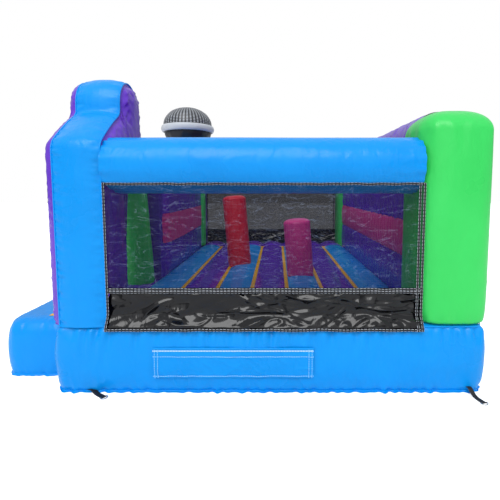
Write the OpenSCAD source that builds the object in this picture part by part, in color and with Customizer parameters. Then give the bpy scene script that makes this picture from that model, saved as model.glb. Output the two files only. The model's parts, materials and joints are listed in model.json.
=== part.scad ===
// Inflatable bounce house with net side windows, an entrance with a step,
// two sprung bash posts and a microphone figure on the front wall.
// Millimetres. +X runs from the entrance to the rear, +Y from one side
// window to the other, +Z up. The origin is on the ground, in the middle
// of the main body.

/* [Body] */
// Length of the main body, from entrance face to rear face
body_len = 3620; // [3000:10:4300]
// Width of the main body, across the two side windows
body_w = 4640; // [3900:10:5500]
// Height of the base cushions that the walls stand on
base_h = 600; // [500:5:650]
// Height of the floor at its seams
floor_h = 612; // [600:2:780]
// How far a floor cell's crown stands above its seams
floor_crown = 64; // [30:1:80]
// How far the end faces of the base bulge out
base_bulge = 50; // [20:1:80]
// How far the side faces of the base bulge out
side_bulge = 50; // [20:1:60]
// Thickness at which a chamber's skin is drawn
skin = 3; // [2:0.5:4]

/* [Front wall] */
// Thickness of the front wall
facade_t = 440; // [390:5:520]
// Height of the front wall's ridge
facade_h = 2260; // [1950:10:2600]
// Width of the entrance
entrance_w = 700; // [600:5:830]
// Height of the entrance's lintel above the ground
entrance_top = 1850; // [1550:5:1980]
// Width of the jamb between the entrance and the near side
jamb_w = 430; // [380:5:500]
// Height of the arch above the entrance
arch_h = 2734; // [2500:2:3200]
// Width of the arch above the entrance
arch_w = 440; // [360:2:530]
// Radius of the round post beside the entrance
entrance_post_r = 185; // [150:1:200]
// Radius of the post in the far front corner
corner_post_r = 190; // [155:1:215]

/* [Rear wall] */
// Thickness of the rear wall
rear_t = 476; // [440:2:570]
// Height of the rear wall's round ridge
rear_h = 2440; // [2300:10:2900]
// Height of the coloured course's lower edge
course_low = 1055; // [900:1:1150]
// Height of the coloured course's upper edge
course_high = 1420; // [1250:1:1600]
// Radius of the rear corner columns
column_r = 320; // [290:1:380]
// Height of the rear corner columns
column_h = 2390; // [2250:2:2800]
// Rise of the dome on each rear column
column_dome = 190; // [120:5:250]

/* [Side windows] */
// Radius of the beam above each window
beam_r = 240; // [210:1:280]
// Height of the beam's axis
beam_z = 1925; // [1750:5:2000]
// How far the beam's axis lies inside the side face
beam_in = 205; // [202:1:230]
// How far the net lies inside the side face
net_in = 15; // [12:1:25]
// Height of the net's lower edge
net_low = 886; // [760:2:1000]
// Thickness of the net and of the panel below it
net_t = 3; // [2:0.5:4]
// Width of the webbing that binds the net
binding_w = 35; // [28:1:50]

/* [Bash posts] */
// Radius of the taller post
red_r = 160; // [130:1:180]
// Height of the taller post above the floor
red_h = 960; // [770:5:1150]
// Radius of the shorter post
pink_r = 165; // [135:1:180]
// Height of the shorter post above the floor
pink_h = 680; // [560:5:810]

/* [Microphone] */
// Radius of the microphone's head
mic_r = 435; // [360:5:520]
// Height of the microphone above the front wall
mic_h = 950; // [800:5:1140]
// Height of the collar round the head
mic_collar_h = 120; // [95:1:150]

/* [Step] */
// Width of the entrance step
step_w = 1040; // [860:5:1240]
// Length of the entrance step
step_len = 620; // [500:5:740]
// Height of the entrance step
step_h = 530; // [430:2:560]

/* [Air and anchors] */
// Bore radius of the inflation sleeve
sleeve_r = 120; // [100:1:144]
// Length of the inflation sleeve beyond the base
sleeve_len = 900; // [750:10:1080]
// Wall of the inflation sleeve
sleeve_wall = 4; // [3:0.5:6]
// Length of the zip cover on the near side
zip_len = 1340; // [1100:5:1600]
// Inside radius of an anchor ring's bow
ring_r = 25; // [21:0.5:30]
// Radius of the anchor ring's wire
wire_r = 4; // [3:0.5:5]
// Width of the anchor webbing
webbing_w = 44; // [36:1:48]

/* [Hidden] */
gap = 0.3;                 // seat clearance between curved neighbours
sheet_t = 6;               // groundsheet, and the coloured panels sewn on
web_t = 3;                 // internal webs
arc_n = 10;                // segments in a drawn curve
cells = 7;                 // floor cells
near_y = -body_w / 2;
far_y = body_w / 2;
front_x = -body_len / 2;
rear_x = body_len / 2;
in_x0 = front_x + facade_t;          // inner face of the front wall
in_x1 = rear_x - rear_t;             // inner face of the rear wall
cell_w = (in_x1 - in_x0) / cells;
side_w = 100;                        // width of a side base cushion
floor_y = body_w / 2 - side_w;       // the floor cells reach this far each way
edge_in = 10;                        // the base's foot lies this far inside its faces
entrance_y0 = near_y + jamb_w;
entrance_y1 = entrance_y0 + entrance_w;
post_y = entrance_y1 + gap + entrance_post_r;
lining_y = post_y + entrance_post_r + gap;
wall_y = lining_y + sheet_t;         // the front wall starts here
facade_x = front_x + facade_t / 2;
arch_y = near_y + jamb_w - 10 + arch_w / 2;  // axis of the arch above the entrance
arch_r = arch_w / 2;
shoulder_h = facade_h - 160;         // height of the front wall at its outer edges
column_x = rear_x - column_r + 70;
column_y = body_w / 2 - column_r + 45;
beam_y = body_w / 2 - beam_in;
corner_post_x = in_x0 - corner_post_r + 80;
corner_post_y = far_y - corner_post_r - 400;
corner_post_top = beam_z - beam_r + 15;   // it ends beside the far beam's underside
red_at = [in_x0 + 2.31 * cell_w, -100];
pink_at = [in_x0 + 4.447 * cell_w, -745];
post_lean = 4;                       // degrees each post leans at rest
foot_t = 3;                          // wall of a post's sewn foot
foot_reach = 40;                     // polar angle of the foot's rim
mic_at = [facade_x + 10, far_y - 650];
mic_foot_r = 200;
collar_t = 40;
step_y = near_y + 250;
sleeve_y = far_y - 800;
sleeve_z = sleeve_r + sleeve_wall + 6;
zip_x = front_x + 840;               // near-side zip cover's left end
zip_z = [150, 395];
cover_gap = 12;
cover_t = 4;
slider_len = 26;
strap_t = 3;
strap_len = 205;
loop_r = wire_r + gap;               // the webbing's eye round the ring's bar
ring_z = loop_r + strap_t;           // the bar's axis above the ground
// Where each anchor strap leaves the groundsheet, and the way it points.
anchors = [
    [front_x + 270, near_y + edge_in, -34],
    [rear_x - 130, near_y + edge_in, -75],
    [front_x + 270, far_y - edge_in, 34],
    [rear_x - 130, far_y - edge_in, 75],
    [rear_x - edge_in, near_y + 700, -12],
    [rear_x - edge_in, far_y - 1500, 12],
];

// ---- curves ----

// Points from p0 to p1 on a curve that bows out by sag to the right of the way it runs.
function bow(p0, p1, sag, n = arc_n) =
    let (d = p1 - p0, side = [d[1], -d[0]] / norm(d))
    [for (i = [0:n]) let (t = i / n) p0 + d * t + side * (4 * sag * t * (1 - t))];

// Points on a circle's arc from angle a0 to a1.
function arc(c, r, a0, a1, n = arc_n) =
    [for (i = [0:n]) let (a = a0 + (a1 - a0) * i / n) c + r * [cos(a), sin(a)]];

// Left-hand unit normal of the edge from p to q.
function edge_normal(p, q) = [p[1] - q[1], q[0] - p[0]] / norm(q - p);

// The anticlockwise outline pts, drawn in by t all round.
function inset(pts, t) = [for (i = [0:len(pts) - 1])
    let (n = len(pts),
         a = edge_normal(pts[(i + n - 1) % n], pts[i]),
         b = edge_normal(pts[i], pts[(i + 1) % n]))
    pts[i] + (a + b) * t / (1 + a * b)];

// ---- chambers ----

// Stands an outline in X and Z up, and runs it along Y from y0 to y1.
module along_y(y0, y1) translate([0, y1, 0]) rotate([90, 0, 0]) linear_extrude(y1 - y0) children();

// Stands an outline in Y and Z up, and runs it along X from x0 to x1.
module along_x(x0, x1) translate([x0, 0, 0]) rotate([90, 0, 90]) linear_extrude(x1 - x0) children();

// A hollow chamber of outline pts in X and Z.
module chamber_y(pts, y0, y1) difference() {
    along_y(y0, y1) polygon(pts);
    along_y(y0 + skin, y1 - skin) polygon(inset(pts, skin));
}

// A hollow chamber of outline pts in Y and Z.
module chamber_x(pts, x0, x1) difference() {
    along_x(x0, x1) polygon(pts);
    along_x(x0 + skin, x1 - skin) polygon(inset(pts, skin));
}

// An upright solid of revolution with this outline, which starts and ends on its axis.
module turned(pts) rotate_extrude($fn = 96) polygon(pts);

// A hollow round column: radius r, from z0 to z1, with a domed end of that rise.
module column(r, z0, z1, rise) difference() {
    turned(column_outline(r, z0, z1, rise));
    turned(column_outline(r - skin, z0 + skin, z1 - skin, rise - skin / 2));
}
function column_outline(r, z0, z1, rise) = concat([[0, z0], [r, z0]],
    [for (i = [0:arc_n]) let (a = 90 * i / arc_n) [r * cos(a), z1 - rise + rise * sin(a)]]);

// ---- base and floor ----

function end_base(x_in, x_out, way) = let (
    foot = [x_out - way * edge_in, sheet_t], top = [x_out, base_h])
    way > 0
    ? concat([[x_in, sheet_t]], bow(foot, top, base_bulge), [[x_in, base_h]])
    : concat([[x_in, sheet_t], [x_in, base_h]], bow(top, foot, base_bulge));

side_foot = edge_in;
// The near side cushion's outline in Y and Z; grow pushes its bulged face outwards.
function side_face(grow = 0) = bow([near_y, base_h], [near_y + side_foot, sheet_t], side_bulge)
    + [for (i = [0:arc_n]) [-grow, 0]];

module groundsheet() color("royalblue")
    translate([front_x + edge_in, near_y + edge_in, 0])
        cube([body_len - 2 * edge_in, body_w - 2 * edge_in, sheet_t]);

module base_front() color("deepskyblue") chamber_y(end_base(in_x0, front_x, -1), -floor_y, floor_y);
module base_rear() color("deepskyblue") chamber_y(end_base(in_x1, rear_x, 1), -floor_y, floor_y);

module base_near() color("deepskyblue")
    chamber_x(concat([[-floor_y, sheet_t], [-floor_y, base_h]], side_face()), front_x, rear_x);

module base_far() mirror([0, 1, 0]) base_near();

// A floor cell's outline: a box between two webs, with a crowned top.
function cell_outline(i) = let (
    x0 = in_x0 + i * cell_w + (i > 0 ? web_t / 2 : 0),
    x1 = in_x0 + (i + 1) * cell_w - (i < cells - 1 ? web_t / 2 : 0))
    concat([[x0, sheet_t], [x1, sheet_t]], bow([x1, floor_h], [x0, floor_h], floor_crown));

// The space that the rear columns and their skins take out of a neighbour.
module rear_columns_cut(extra) for (side = [-1, 1])
    translate([column_x, side * column_y, 0]) cylinder(r = column_r + gap + extra, h = column_h, $fn = 96);

module above_base(extra) intersection() {
    rear_columns_cut(extra);
    translate([in_x0, -body_w, base_h - extra]) cube([body_len, 2 * body_w, column_h]);
}

module floor_cell(i) color(i % 2 == 0 ? "dodgerblue" : "rebeccapurple") difference() {
    along_y(-floor_y, floor_y) polygon(cell_outline(i));
    if (i == cells - 1) above_base(0);
    difference() {
        along_y(-floor_y + skin, floor_y - skin) polygon(inset(cell_outline(i), skin));
        if (i == cells - 1) above_base(skin);
    }
}

module floor_webs() color("lightgray") for (i = [1:cells - 1])
    translate([in_x0 + i * cell_w - web_t / 2, -floor_y, sheet_t])
        cube([web_t, 2 * floor_y, floor_h - sheet_t]);

tape_w = 26;
tape_t = 5;
// The tape fills the valley between two crowns and stands a little proud of the seam.
module floor_seam_tapes() color("gold") difference() {
    for (i = [1:cells - 1]) translate([in_x0 + i * cell_w - tape_w / 2, -floor_y, floor_h])
        cube([tape_w, 2 * floor_y, tape_t + 8]);
    for (i = [0:cells - 1]) along_y(-body_w, body_w) polygon(cell_outline(i));
}

module entrance_threshold() color("rebeccapurple") difference() {
    translate([front_x, entrance_y0, base_h]) cube([facade_t, lining_y - entrance_y0, floor_h - base_h]);
    translate([front_x + skin, entrance_y0 + skin, base_h + skin])
        cube([facade_t - 2 * skin, lining_y - entrance_y0 - 2 * skin, floor_h - base_h - 2 * skin]);
}

// ---- front wall ----

jamb_outline = [[near_y, base_h], [entrance_y0, base_h], [entrance_y0, entrance_top], [near_y, entrance_top]];

arch_outline = concat(
    [[near_y, entrance_top], [wall_y, entrance_top], [wall_y, facade_h], [arch_y + arch_r, facade_h]],
    arc([arch_y, arch_h - arch_r], arch_r, 0, 180),
    bow([arch_y - arch_r, facade_h + 140], [near_y, shoulder_h], 60));

wall_outline = concat([[wall_y, base_h], [far_y, base_h]],
    bow([far_y, shoulder_h], [far_y - 300, facade_h], 45), [[wall_y, facade_h]]);

module corner_post_cut(extra) translate([corner_post_x, corner_post_y, floor_h - extra])
    cylinder(r = corner_post_r + gap + extra, h = corner_post_top - floor_h + gap + 2 * extra, $fn = 96);

module facade_jamb() color("mediumpurple") chamber_x(jamb_outline, front_x, in_x0);
module facade_arch() color("mediumpurple") chamber_x(arch_outline, front_x, in_x0);
module facade_wall() color("mediumpurple") difference() {
    along_x(front_x, in_x0) polygon(wall_outline);
    corner_post_cut(0);
    difference() {
        along_x(front_x + skin, in_x0 - skin) polygon(inset(wall_outline, skin));
        corner_post_cut(skin);
    }
}

// Upright cross-webs that hold the front wall's two faces at their distance.
facade_web_n = 4;
module facade_webs() color("lightgray") for (i = [1:facade_web_n])
    translate([front_x + skin, wall_y + (corner_post_y - corner_post_r - 60 - wall_y) * i / facade_web_n, base_h + skin])
        cube([facade_t - 2 * skin, web_t, facade_h - base_h - 2 * skin]);

module front_inner_band() color("deeppink") difference() {
    translate([in_x0, wall_y + 40, course_low])
        cube([sheet_t, corner_post_y - wall_y - 40, course_high - course_low]);
    corner_post_cut(0);
}

module entrance_lining() color("mediumpurple")
    translate([front_x, lining_y, base_h]) cube([facade_t, sheet_t, entrance_top - base_h]);

module entrance_post() color("limegreen") translate([facade_x + 10, post_y, 0]) difference() {
    translate([0, 0, floor_h]) cylinder(r = entrance_post_r, h = entrance_top - floor_h, $fn = 96);
    translate([0, 0, floor_h + skin])
        cylinder(r = entrance_post_r - skin, h = entrance_top - floor_h - 2 * skin, $fn = 96);
}

module front_corner_post() color("limegreen") translate([corner_post_x, corner_post_y, 0])
    column(corner_post_r, floor_h + crown_over(in_x0, corner_post_x + corner_post_r) + gap,
           corner_post_top, 60);

// Height of the floor's crown above its seams at x.
function crown_at(x) = x <= in_x0 || x >= in_x1 ? 0 :
    let (f = (x - in_x0) / cell_w, u = f - floor(f)) 4 * floor_crown * u * (1 - u);
// Highest crown between x0 and x1.
function crown_over(x0, x1) = max([for (x = [x0:2:x1]) crown_at(x)]);

// ---- microphone ----

mic_neck_h = mic_h * 0.526;
module mic_neck() color("dimgray") translate([mic_at[0], mic_at[1], facade_h]) difference() {
    turned(neck_outline(0));
    turned(neck_outline(skin));
}
// A slim handle, then the lower half of the head; t draws it in.
handle_h = mic_neck_h * 0.5;
function neck_outline(t) = concat([[0, t]], bow([mic_foot_r - t, t], [mic_foot_r + 35 - t, handle_h], 6),
    bow([mic_foot_r + 60 - t, handle_h + 20], [mic_r - 20 - t, mic_neck_h - t], 60), [[0, mic_neck_h - t]]);

module mic_head() color("gray") translate([mic_at[0], mic_at[1], facade_h + mic_neck_h]) difference() {
    turned(column_outline(mic_r, 0, mic_h - mic_neck_h, mic_h - mic_neck_h - mic_collar_h));
    turned(column_outline(mic_r - skin, skin, mic_h - mic_neck_h - skin, mic_h - mic_neck_h - mic_collar_h - skin / 2));
}

module mic_collar() color("silver") translate([mic_at[0], mic_at[1], facade_h + mic_neck_h])
    turned(concat(bow([mic_r + gap, 0], [mic_r + gap, mic_collar_h], collar_t)));

// ---- step ----

step_x = front_x + edge_in / 2 - base_bulge;       // the step's back touches the base's bulge here
step_round = 90;                     // radius of the step's front edge
step_outline = concat([[step_x, 0], [step_x, step_h]],
    arc([step_x - step_len + step_round, step_h - step_round], step_round, 90, 170, 6),
    bow([step_x - step_len, step_h - 1.3 * step_round], [step_x - step_len + 40, 0], 20));

module entrance_step() color("deepskyblue") chamber_y(step_outline, step_y, step_y + step_w);

step_edge = 150;                     // blue border at the sides of the step's yellow panel
step_panel = 0.4;                    // the panel's share of the step's length, next to the wall
module step_top_panel() color("gold")
    translate([step_x - step_panel * step_len, step_y + step_edge, step_h])
        cube([step_panel * step_len - 15, step_w - 2 * step_edge, sheet_t]);

// ---- rear wall ----

// The wall reaches along Y to where the rear columns meet its outer face.
rear_wall_y = column_y - sqrt(pow(column_r + gap, 2) - pow(rear_x - column_x, 2));
ridge_r = rear_t / 2;

function course(z0, z1) = [[in_x1, z0], [rear_x, z0], [rear_x, z1], [in_x1, z1]];
upper_outline = concat([[in_x1, course_high], [rear_x, course_high]],
    arc([rear_x - ridge_r, rear_h - ridge_r], ridge_r, 0, 180, 16));

module rear_chamber(pts) difference() {
    along_y(-rear_wall_y, rear_wall_y) polygon(pts);
    rear_columns_cut(0);
    difference() {
        along_y(-rear_wall_y + skin, rear_wall_y - skin) polygon(inset(pts, skin));
        rear_columns_cut(skin);
    }
}

module rear_wall_lower() color("rebeccapurple") rear_chamber(course(base_h, course_low));
module rear_wall_band() color("deeppink") rear_chamber(course(course_low, course_high));
module rear_wall_upper() color("rebeccapurple") rear_chamber(upper_outline);

// Upright cross-webs inside the rear wall's lower and upper courses.
rear_web_n = 3;
module rear_wall_webs() color("lightgray") for (i = [-rear_web_n:rear_web_n], pts = [course(base_h, course_low), upper_outline])
    let (y = i * (column_y - column_r - 60) / rear_web_n)
    along_y(y - web_t / 2, y + web_t / 2) polygon(inset(pts, skin));

module rear_column(side) color("limegreen") translate([column_x, side * column_y, 0])
    column(column_r, base_h, column_h, column_dome);

// ---- side windows ----

module beam_near() difference() {
    translate([in_x0, -beam_y, beam_z]) rotate([0, 90, 0])
        cylinder(r = beam_r, h = column_x - in_x0, $fn = 96);
    rear_columns_cut(0);
    difference() {
        translate([in_x0 + skin, -beam_y, beam_z]) rotate([0, 90, 0])
            cylinder(r = beam_r - skin, h = column_x - in_x0, $fn = 96);
        rear_columns_cut(skin);
    }
}

net_y = near_y + net_in;             // outer face of the net
net_back = net_y + net_t;
net_x1 = column_x - sqrt(pow(column_r + gap, 2) - pow(column_y + net_back, 2));
net_top = beam_z - sqrt(pow(beam_r + gap, 2) - pow(beam_y + net_back, 2));

module net_near() translate([in_x0, net_y, net_low])
    cube([net_x1 - in_x0, net_t, net_top - net_low]);

module band_near() translate([in_x0, net_y, base_h])
    cube([net_x1 - in_x0, net_t, net_low - base_h]);

module binding_near() difference() {
    translate([in_x0, net_y - strap_t, net_low - binding_w / 2])
        cube([net_x1 - in_x0, strap_t, net_top - net_low + binding_w / 2]);
    translate([in_x0 + binding_w, net_y - 2 * strap_t, net_low + binding_w / 2])
        cube([net_x1 - in_x0 - 2 * binding_w, 3 * strap_t, net_top - net_low - 1.5 * binding_w]);
}

module far() mirror([0, 1, 0]) children();

// ---- bash posts ----

// Each post stands on a round foot, and sways about the middle of it.
function pivot_z(at, r) = let (reach = r + foot_t) floor_h + gap +
    max([for (dx = [-reach:2:reach]) crown_at(at[0] + dx) + sqrt(reach * reach - dx * dx)]);

module leaning(at, r) translate([at[0], at[1], pivot_z(at, r)]) rotate([0, -post_lean, 0]) children();

module post_foot(at, r) leaning(at, r) difference() {
    sphere(r = r + foot_t, $fn = 96);
    sphere(r = r + gap, $fn = 96);
    translate([0, 0, -(r + foot_t) * cos(foot_reach) + r * 1.5]) cube(3 * r, center = true);
}

function post_outline(r, top) = concat(
    [for (i = [0:2 * arc_n]) let (a = -90 + 90 * i / (2 * arc_n)) [r * cos(a), r * sin(a)]],
    [for (i = [0:arc_n]) let (a = 90 * i / arc_n) [r * cos(a), top - 0.35 * r + 0.35 * r * sin(a)]]);

module bash_post(at, r, h) leaning(at, r) difference() {
    union() {
        sphere(r = r, $fn = 96);
        turned(column_outline(r, 0, h - r, 0.35 * r));
    }
    union() {
        sphere(r = r - skin, $fn = 96);
        turned(column_outline(r - skin, 0, h - r - skin, 0.35 * r - skin / 2));
    }
}

// ---- deflation zip ----

cover_x = [zip_x, zip_x + zip_len];
// A strip on the near base's bulged face between heights z0 and z1, from offset a to offset b.
module face_strip(x0, x1, z0, z1, a, b) intersection() {
    along_x(x0, x1) polygon(concat(side_face(b), [for (i = [arc_n:-1:0]) side_face(a)[i]]));
    translate([x0, near_y - 2 * side_bulge, z0]) cube([x1 - x0, 4 * side_bulge, z1 - z0]);
}

module zip_cover() color("deepskyblue")
    face_strip(cover_x[0], cover_x[1], zip_z[0], zip_z[1], cover_gap, cover_gap + cover_t);

// The welt that the cover hangs from.
welt_h = 8;
module zip_cover_welt() color("deepskyblue")
    face_strip(cover_x[0], cover_x[1], zip_z[1] + gap, zip_z[1] + gap + welt_h, 0, cover_gap + cover_t);

tape_z = [250, 290];
module zip_tape() color("black")
    face_strip(cover_x[0] + 20, cover_x[1] - 20, tape_z[0], tape_z[1], 0, 2);

slider_face_y = min([for (p = side_face(2)) p[1] >= tape_z[0] - 60 && p[1] <= tape_z[1] + 60 ? p[0] : 0]);
module zip_slider() color("silver")
    translate([cover_x[0] + 24, slider_face_y - gap - 6, (tape_z[0] + tape_z[1]) / 2 - 9]) union() {
        cube([slider_len, 6, 18]);
        translate([4, 2, -34]) cube([8, 2.5, 36]);
    }

// ---- inflation sleeve ----

// The sleeve's flat end stands against the bulge of the base's rear face at the height of its own top.
sleeve_x0 = gap + lookup(sleeve_z + sleeve_r + sleeve_wall,
    [for (p = bow([rear_x - edge_in, sheet_t], [rear_x, base_h], base_bulge)) [p[1], p[0]]]);

module inflation_sleeve() color("royalblue") translate([sleeve_x0, sleeve_y, sleeve_z]) rotate([0, 90, 0])
    difference() {
        cylinder(r = sleeve_r + sleeve_wall, h = rear_x + sleeve_len - sleeve_x0, $fn = 96);
        translate([0, 0, -1]) cylinder(r = sleeve_r, h = sleeve_len + 40, $fn = 96);
    }

module sleeve_strap() color("black") translate([rear_x + sleeve_len - 140, sleeve_y, sleeve_z])
    rotate([0, 90, 0]) difference() {
        cylinder(r = sleeve_r + sleeve_wall + gap + strap_t, h = 40, $fn = 96);
        translate([0, 0, -1]) cylinder(r = sleeve_r + sleeve_wall + gap, h = 42, $fn = 96);
    }

// ---- anchors ----

module at_anchor(a) translate([a[0], a[1], 0]) rotate([0, 0, a[2]]) children();

// A webbing strap from the groundsheet's edge, with an eye for the ring's bar at its end.
module anchor_strap(a) difference() {
    at_anchor(a) {
        translate([-60, -webbing_w / 2, 0]) cube([strap_len + 60, webbing_w, strap_t]);
        translate([strap_len, 0, ring_z]) rotate([90, 0, 0])
            cylinder(r = ring_z, h = webbing_w, center = true, $fn = 48);
    }
    at_anchor(a) translate([strap_len, 0, ring_z]) rotate([90, 0, 0])
        cylinder(r = loop_r, h = 2 * webbing_w, center = true, $fn = 48);
    translate([front_x + edge_in, near_y + edge_in, -1])
        cube([body_len - 2 * edge_in, body_w - 2 * edge_in, base_h]);
}

module anchor_straps() color("black") for (a = anchors) anchor_strap(a);

// A ring with a straight bar through the strap's eye and a round bow beyond it.
bow_r = ring_r + wire_r;
module anchor_ring(a) color("silver") at_anchor(a) translate([strap_len, 0, ring_z]) {
    rotate([90, 0, 0]) cylinder(r = wire_r, h = 2 * bow_r, center = true, $fn = 48);
    rotate([0, 0, -90]) rotate_extrude(angle = 180, $fn = 96) translate([bow_r, 0]) circle(r = wire_r, $fn = 48);
    for (s = [-1, 1]) translate([0, s * bow_r, 0]) sphere(r = wire_r, $fn = 48);
}

// ---- assembly ----

groundsheet();
base_front();
base_rear();
base_near();
base_far();
for (i = [1:cells]) floor_cell(i - 1);
floor_webs();
floor_seam_tapes();
entrance_threshold();
facade_jamb();
facade_arch();
facade_wall();
facade_webs();
front_inner_band();
entrance_lining();
entrance_post();
front_corner_post();
mic_neck();
mic_collar();
mic_head();
entrance_step();
step_top_panel();
rear_wall_lower();
rear_wall_band();
rear_wall_upper();
rear_wall_webs();
rear_column(-1);  // rear_column_near
rear_column(1);  // rear_column_far
color("deepskyblue") beam_near();  // top_beam_near
color("deepskyblue") far() beam_near();  // top_beam_far
color("black", 0.5) net_near();  // window_net_near
color("black", 0.5) far() net_near();  // window_net_far
color("black") band_near();  // window_band_near
color("black") far() band_near();  // window_band_far
color("dimgray") binding_near();  // window_binding_near
color("dimgray") far() binding_near();  // window_binding_far
color("firebrick") post_foot(red_at, red_r);  // post_foot_red
color("red") bash_post(red_at, red_r, red_h);  // bash_post_red
color("mediumvioletred") post_foot(pink_at, pink_r);  // post_foot_pink
color("hotpink") bash_post(pink_at, pink_r, pink_h);  // bash_post_pink
zip_cover_welt();
zip_cover();
zip_tape();
zip_slider();
inflation_sleeve();
sleeve_strap();
anchor_straps();
for (i = [1:len(anchors)]) anchor_ring(anchors[i - 1]);
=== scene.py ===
"""Looks for an inflatable bounce house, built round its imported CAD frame. Metres, +Z up."""

import json
import logging
import math
from dataclasses import dataclass, field
from enum import Enum
from typing import Any, Callable, Optional

import bmesh
import bpy
import numpy as np
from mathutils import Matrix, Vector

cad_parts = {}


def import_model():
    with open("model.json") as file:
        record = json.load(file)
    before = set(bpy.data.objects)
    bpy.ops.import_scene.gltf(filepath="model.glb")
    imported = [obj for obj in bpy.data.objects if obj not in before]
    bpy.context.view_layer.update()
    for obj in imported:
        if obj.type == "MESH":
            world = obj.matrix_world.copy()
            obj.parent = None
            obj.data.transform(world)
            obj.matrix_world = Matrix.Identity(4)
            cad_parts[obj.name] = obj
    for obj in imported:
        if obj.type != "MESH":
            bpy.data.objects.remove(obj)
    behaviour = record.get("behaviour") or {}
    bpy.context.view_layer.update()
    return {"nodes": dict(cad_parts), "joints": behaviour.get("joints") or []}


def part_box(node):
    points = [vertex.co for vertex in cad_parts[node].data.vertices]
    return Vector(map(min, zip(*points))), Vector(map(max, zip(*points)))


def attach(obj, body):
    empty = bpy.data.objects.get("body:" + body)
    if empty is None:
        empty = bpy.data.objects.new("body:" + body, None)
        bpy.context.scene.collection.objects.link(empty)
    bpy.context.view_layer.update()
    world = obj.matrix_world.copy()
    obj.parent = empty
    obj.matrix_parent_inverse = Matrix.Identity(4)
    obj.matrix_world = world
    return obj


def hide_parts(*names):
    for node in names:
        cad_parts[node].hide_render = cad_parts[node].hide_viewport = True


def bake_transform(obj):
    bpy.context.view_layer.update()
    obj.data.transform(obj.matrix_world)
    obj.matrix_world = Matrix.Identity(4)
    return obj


log = logging.getLogger("bounce_house")
Array = np.ndarray
CASTLE = "castle"


# ---- colour and nodes ----

def linear(hex_value: str) -> tuple[float, float, float, float]:
    """Turns an sRGB hex colour into linear RGBA.

    Args:
        hex_value: six hex digits.
    Returns:
        Linear red, green, blue and an alpha of 1.
    """
    parts = [int(hex_value[i:i + 2], 16) / 255 for i in (0, 2, 4)]
    r, g, b = (c / 12.92 if c <= 0.04045 else ((c + 0.055) / 1.055) ** 2.4 for c in parts)
    return (r, g, b, 1.0)


def add_node(mat: bpy.types.Material, kind: str, links: Optional[dict[Any, Any]] = None,
             inputs: Optional[dict[Any, Any]] = None, **settings: Any) -> bpy.types.Node:
    """Adds one node to a material.

    Args:
        mat: the material.
        kind: the node's type name, without its ShaderNode prefix.
        links: input name or number to the output socket that feeds it.
        inputs: input name or number to its value.
        settings: the node's own properties.
    Returns:
        The new node.
    """
    node = mat.node_tree.nodes.new("ShaderNode" + kind)
    for key, value in settings.items():
        setattr(node, key, value)
    for key, value in (inputs or {}).items():
        node.inputs[key].default_value = value
    for key, socket in (links or {}).items():
        mat.node_tree.links.new(socket, node.inputs[key])
    return node


def new_material(name: str) -> tuple[bpy.types.Material, bpy.types.Node]:
    """Makes an empty node material.

    Args:
        name: the material's name.
    Returns:
        The material and its Principled shader, already joined to the output.
    """
    mat = bpy.data.materials.new(name)
    mat.use_nodes = True
    mat.node_tree.nodes.clear()
    shader = add_node(mat, "BsdfPrincipled")
    add_node(mat, "OutputMaterial", {"Surface": shader.outputs["BSDF"]})
    return mat, shader


# ---- finishes ----

@dataclass(frozen=True)
class CoatedFabric:
    """PVC-coated polyester, about 0.6 mm: a scrim under a calendered plastic face.

    The eye sees a saturated colour, broad soft gloss, small tension creases and a faint scrim.
    """
    name: str
    colour: str
    shade: str
    roughness: float = 0.34
    crease: float = 0.35
    crease_m: float = 0.11
    gloss: float = 0.34

    def material(self) -> bpy.types.Material:
        """Makes the material.

        Returns:
            The material, on Object coordinates.
        """
        mat, shader = new_material(self.name)
        at = add_node(mat, "TexCoord").outputs["Object"]
        tone = add_node(mat, "TexNoise", {"Vector": at}, {"Scale": 2.3, "Detail": 3.0, "Roughness": 0.6})
        mix = add_node(mat, "Mix", {0: tone.outputs["Fac"]}, data_type="RGBA")
        mix.inputs[6].default_value = linear(self.shade)
        mix.inputs[7].default_value = linear(self.colour)
        ramp = add_node(mat, "MapRange", {"Value": tone.outputs["Fac"]},
                        {"From Min": 0.3, "From Max": 0.7, "To Min": self.roughness - 0.06,
                         "To Max": self.roughness + 0.07})
        warp = add_node(mat, "Mapping", {"Vector": at})
        warp.inputs["Scale"].default_value = (1.0, 1.0, 0.42)
        folds = add_node(mat, "TexNoise", {"Vector": warp.outputs[0]},
                         {"Scale": 1 / self.crease_m, "Detail": 2.5, "Roughness": 0.5, "Distortion": 0.6})
        bump = add_node(mat, "Bump", {"Height": folds.outputs["Fac"]},
                        {"Strength": self.crease, "Distance": 0.02})
        # Scrim threads lie about 1 mm apart; they are drawn at 5 mm so that they show.
        scrim = add_node(mat, "TexVoronoi", {"Vector": at}, {"Scale": 200.0, "Randomness": 0.15})
        fine = add_node(mat, "Bump", {"Height": scrim.outputs["Distance"], "Normal": bump.outputs[0]},
                        {"Strength": 0.06, "Distance": 0.002})
        tree = mat.node_tree.links
        tree.new(mix.outputs[2], shader.inputs["Base Color"])
        tree.new(ramp.outputs[0], shader.inputs["Roughness"])
        tree.new(fine.outputs[0], shader.inputs["Normal"])
        shader.inputs["IOR"].default_value = 1.5
        shader.inputs["Specular IOR Level"].default_value = self.gloss
        return mat


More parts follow.
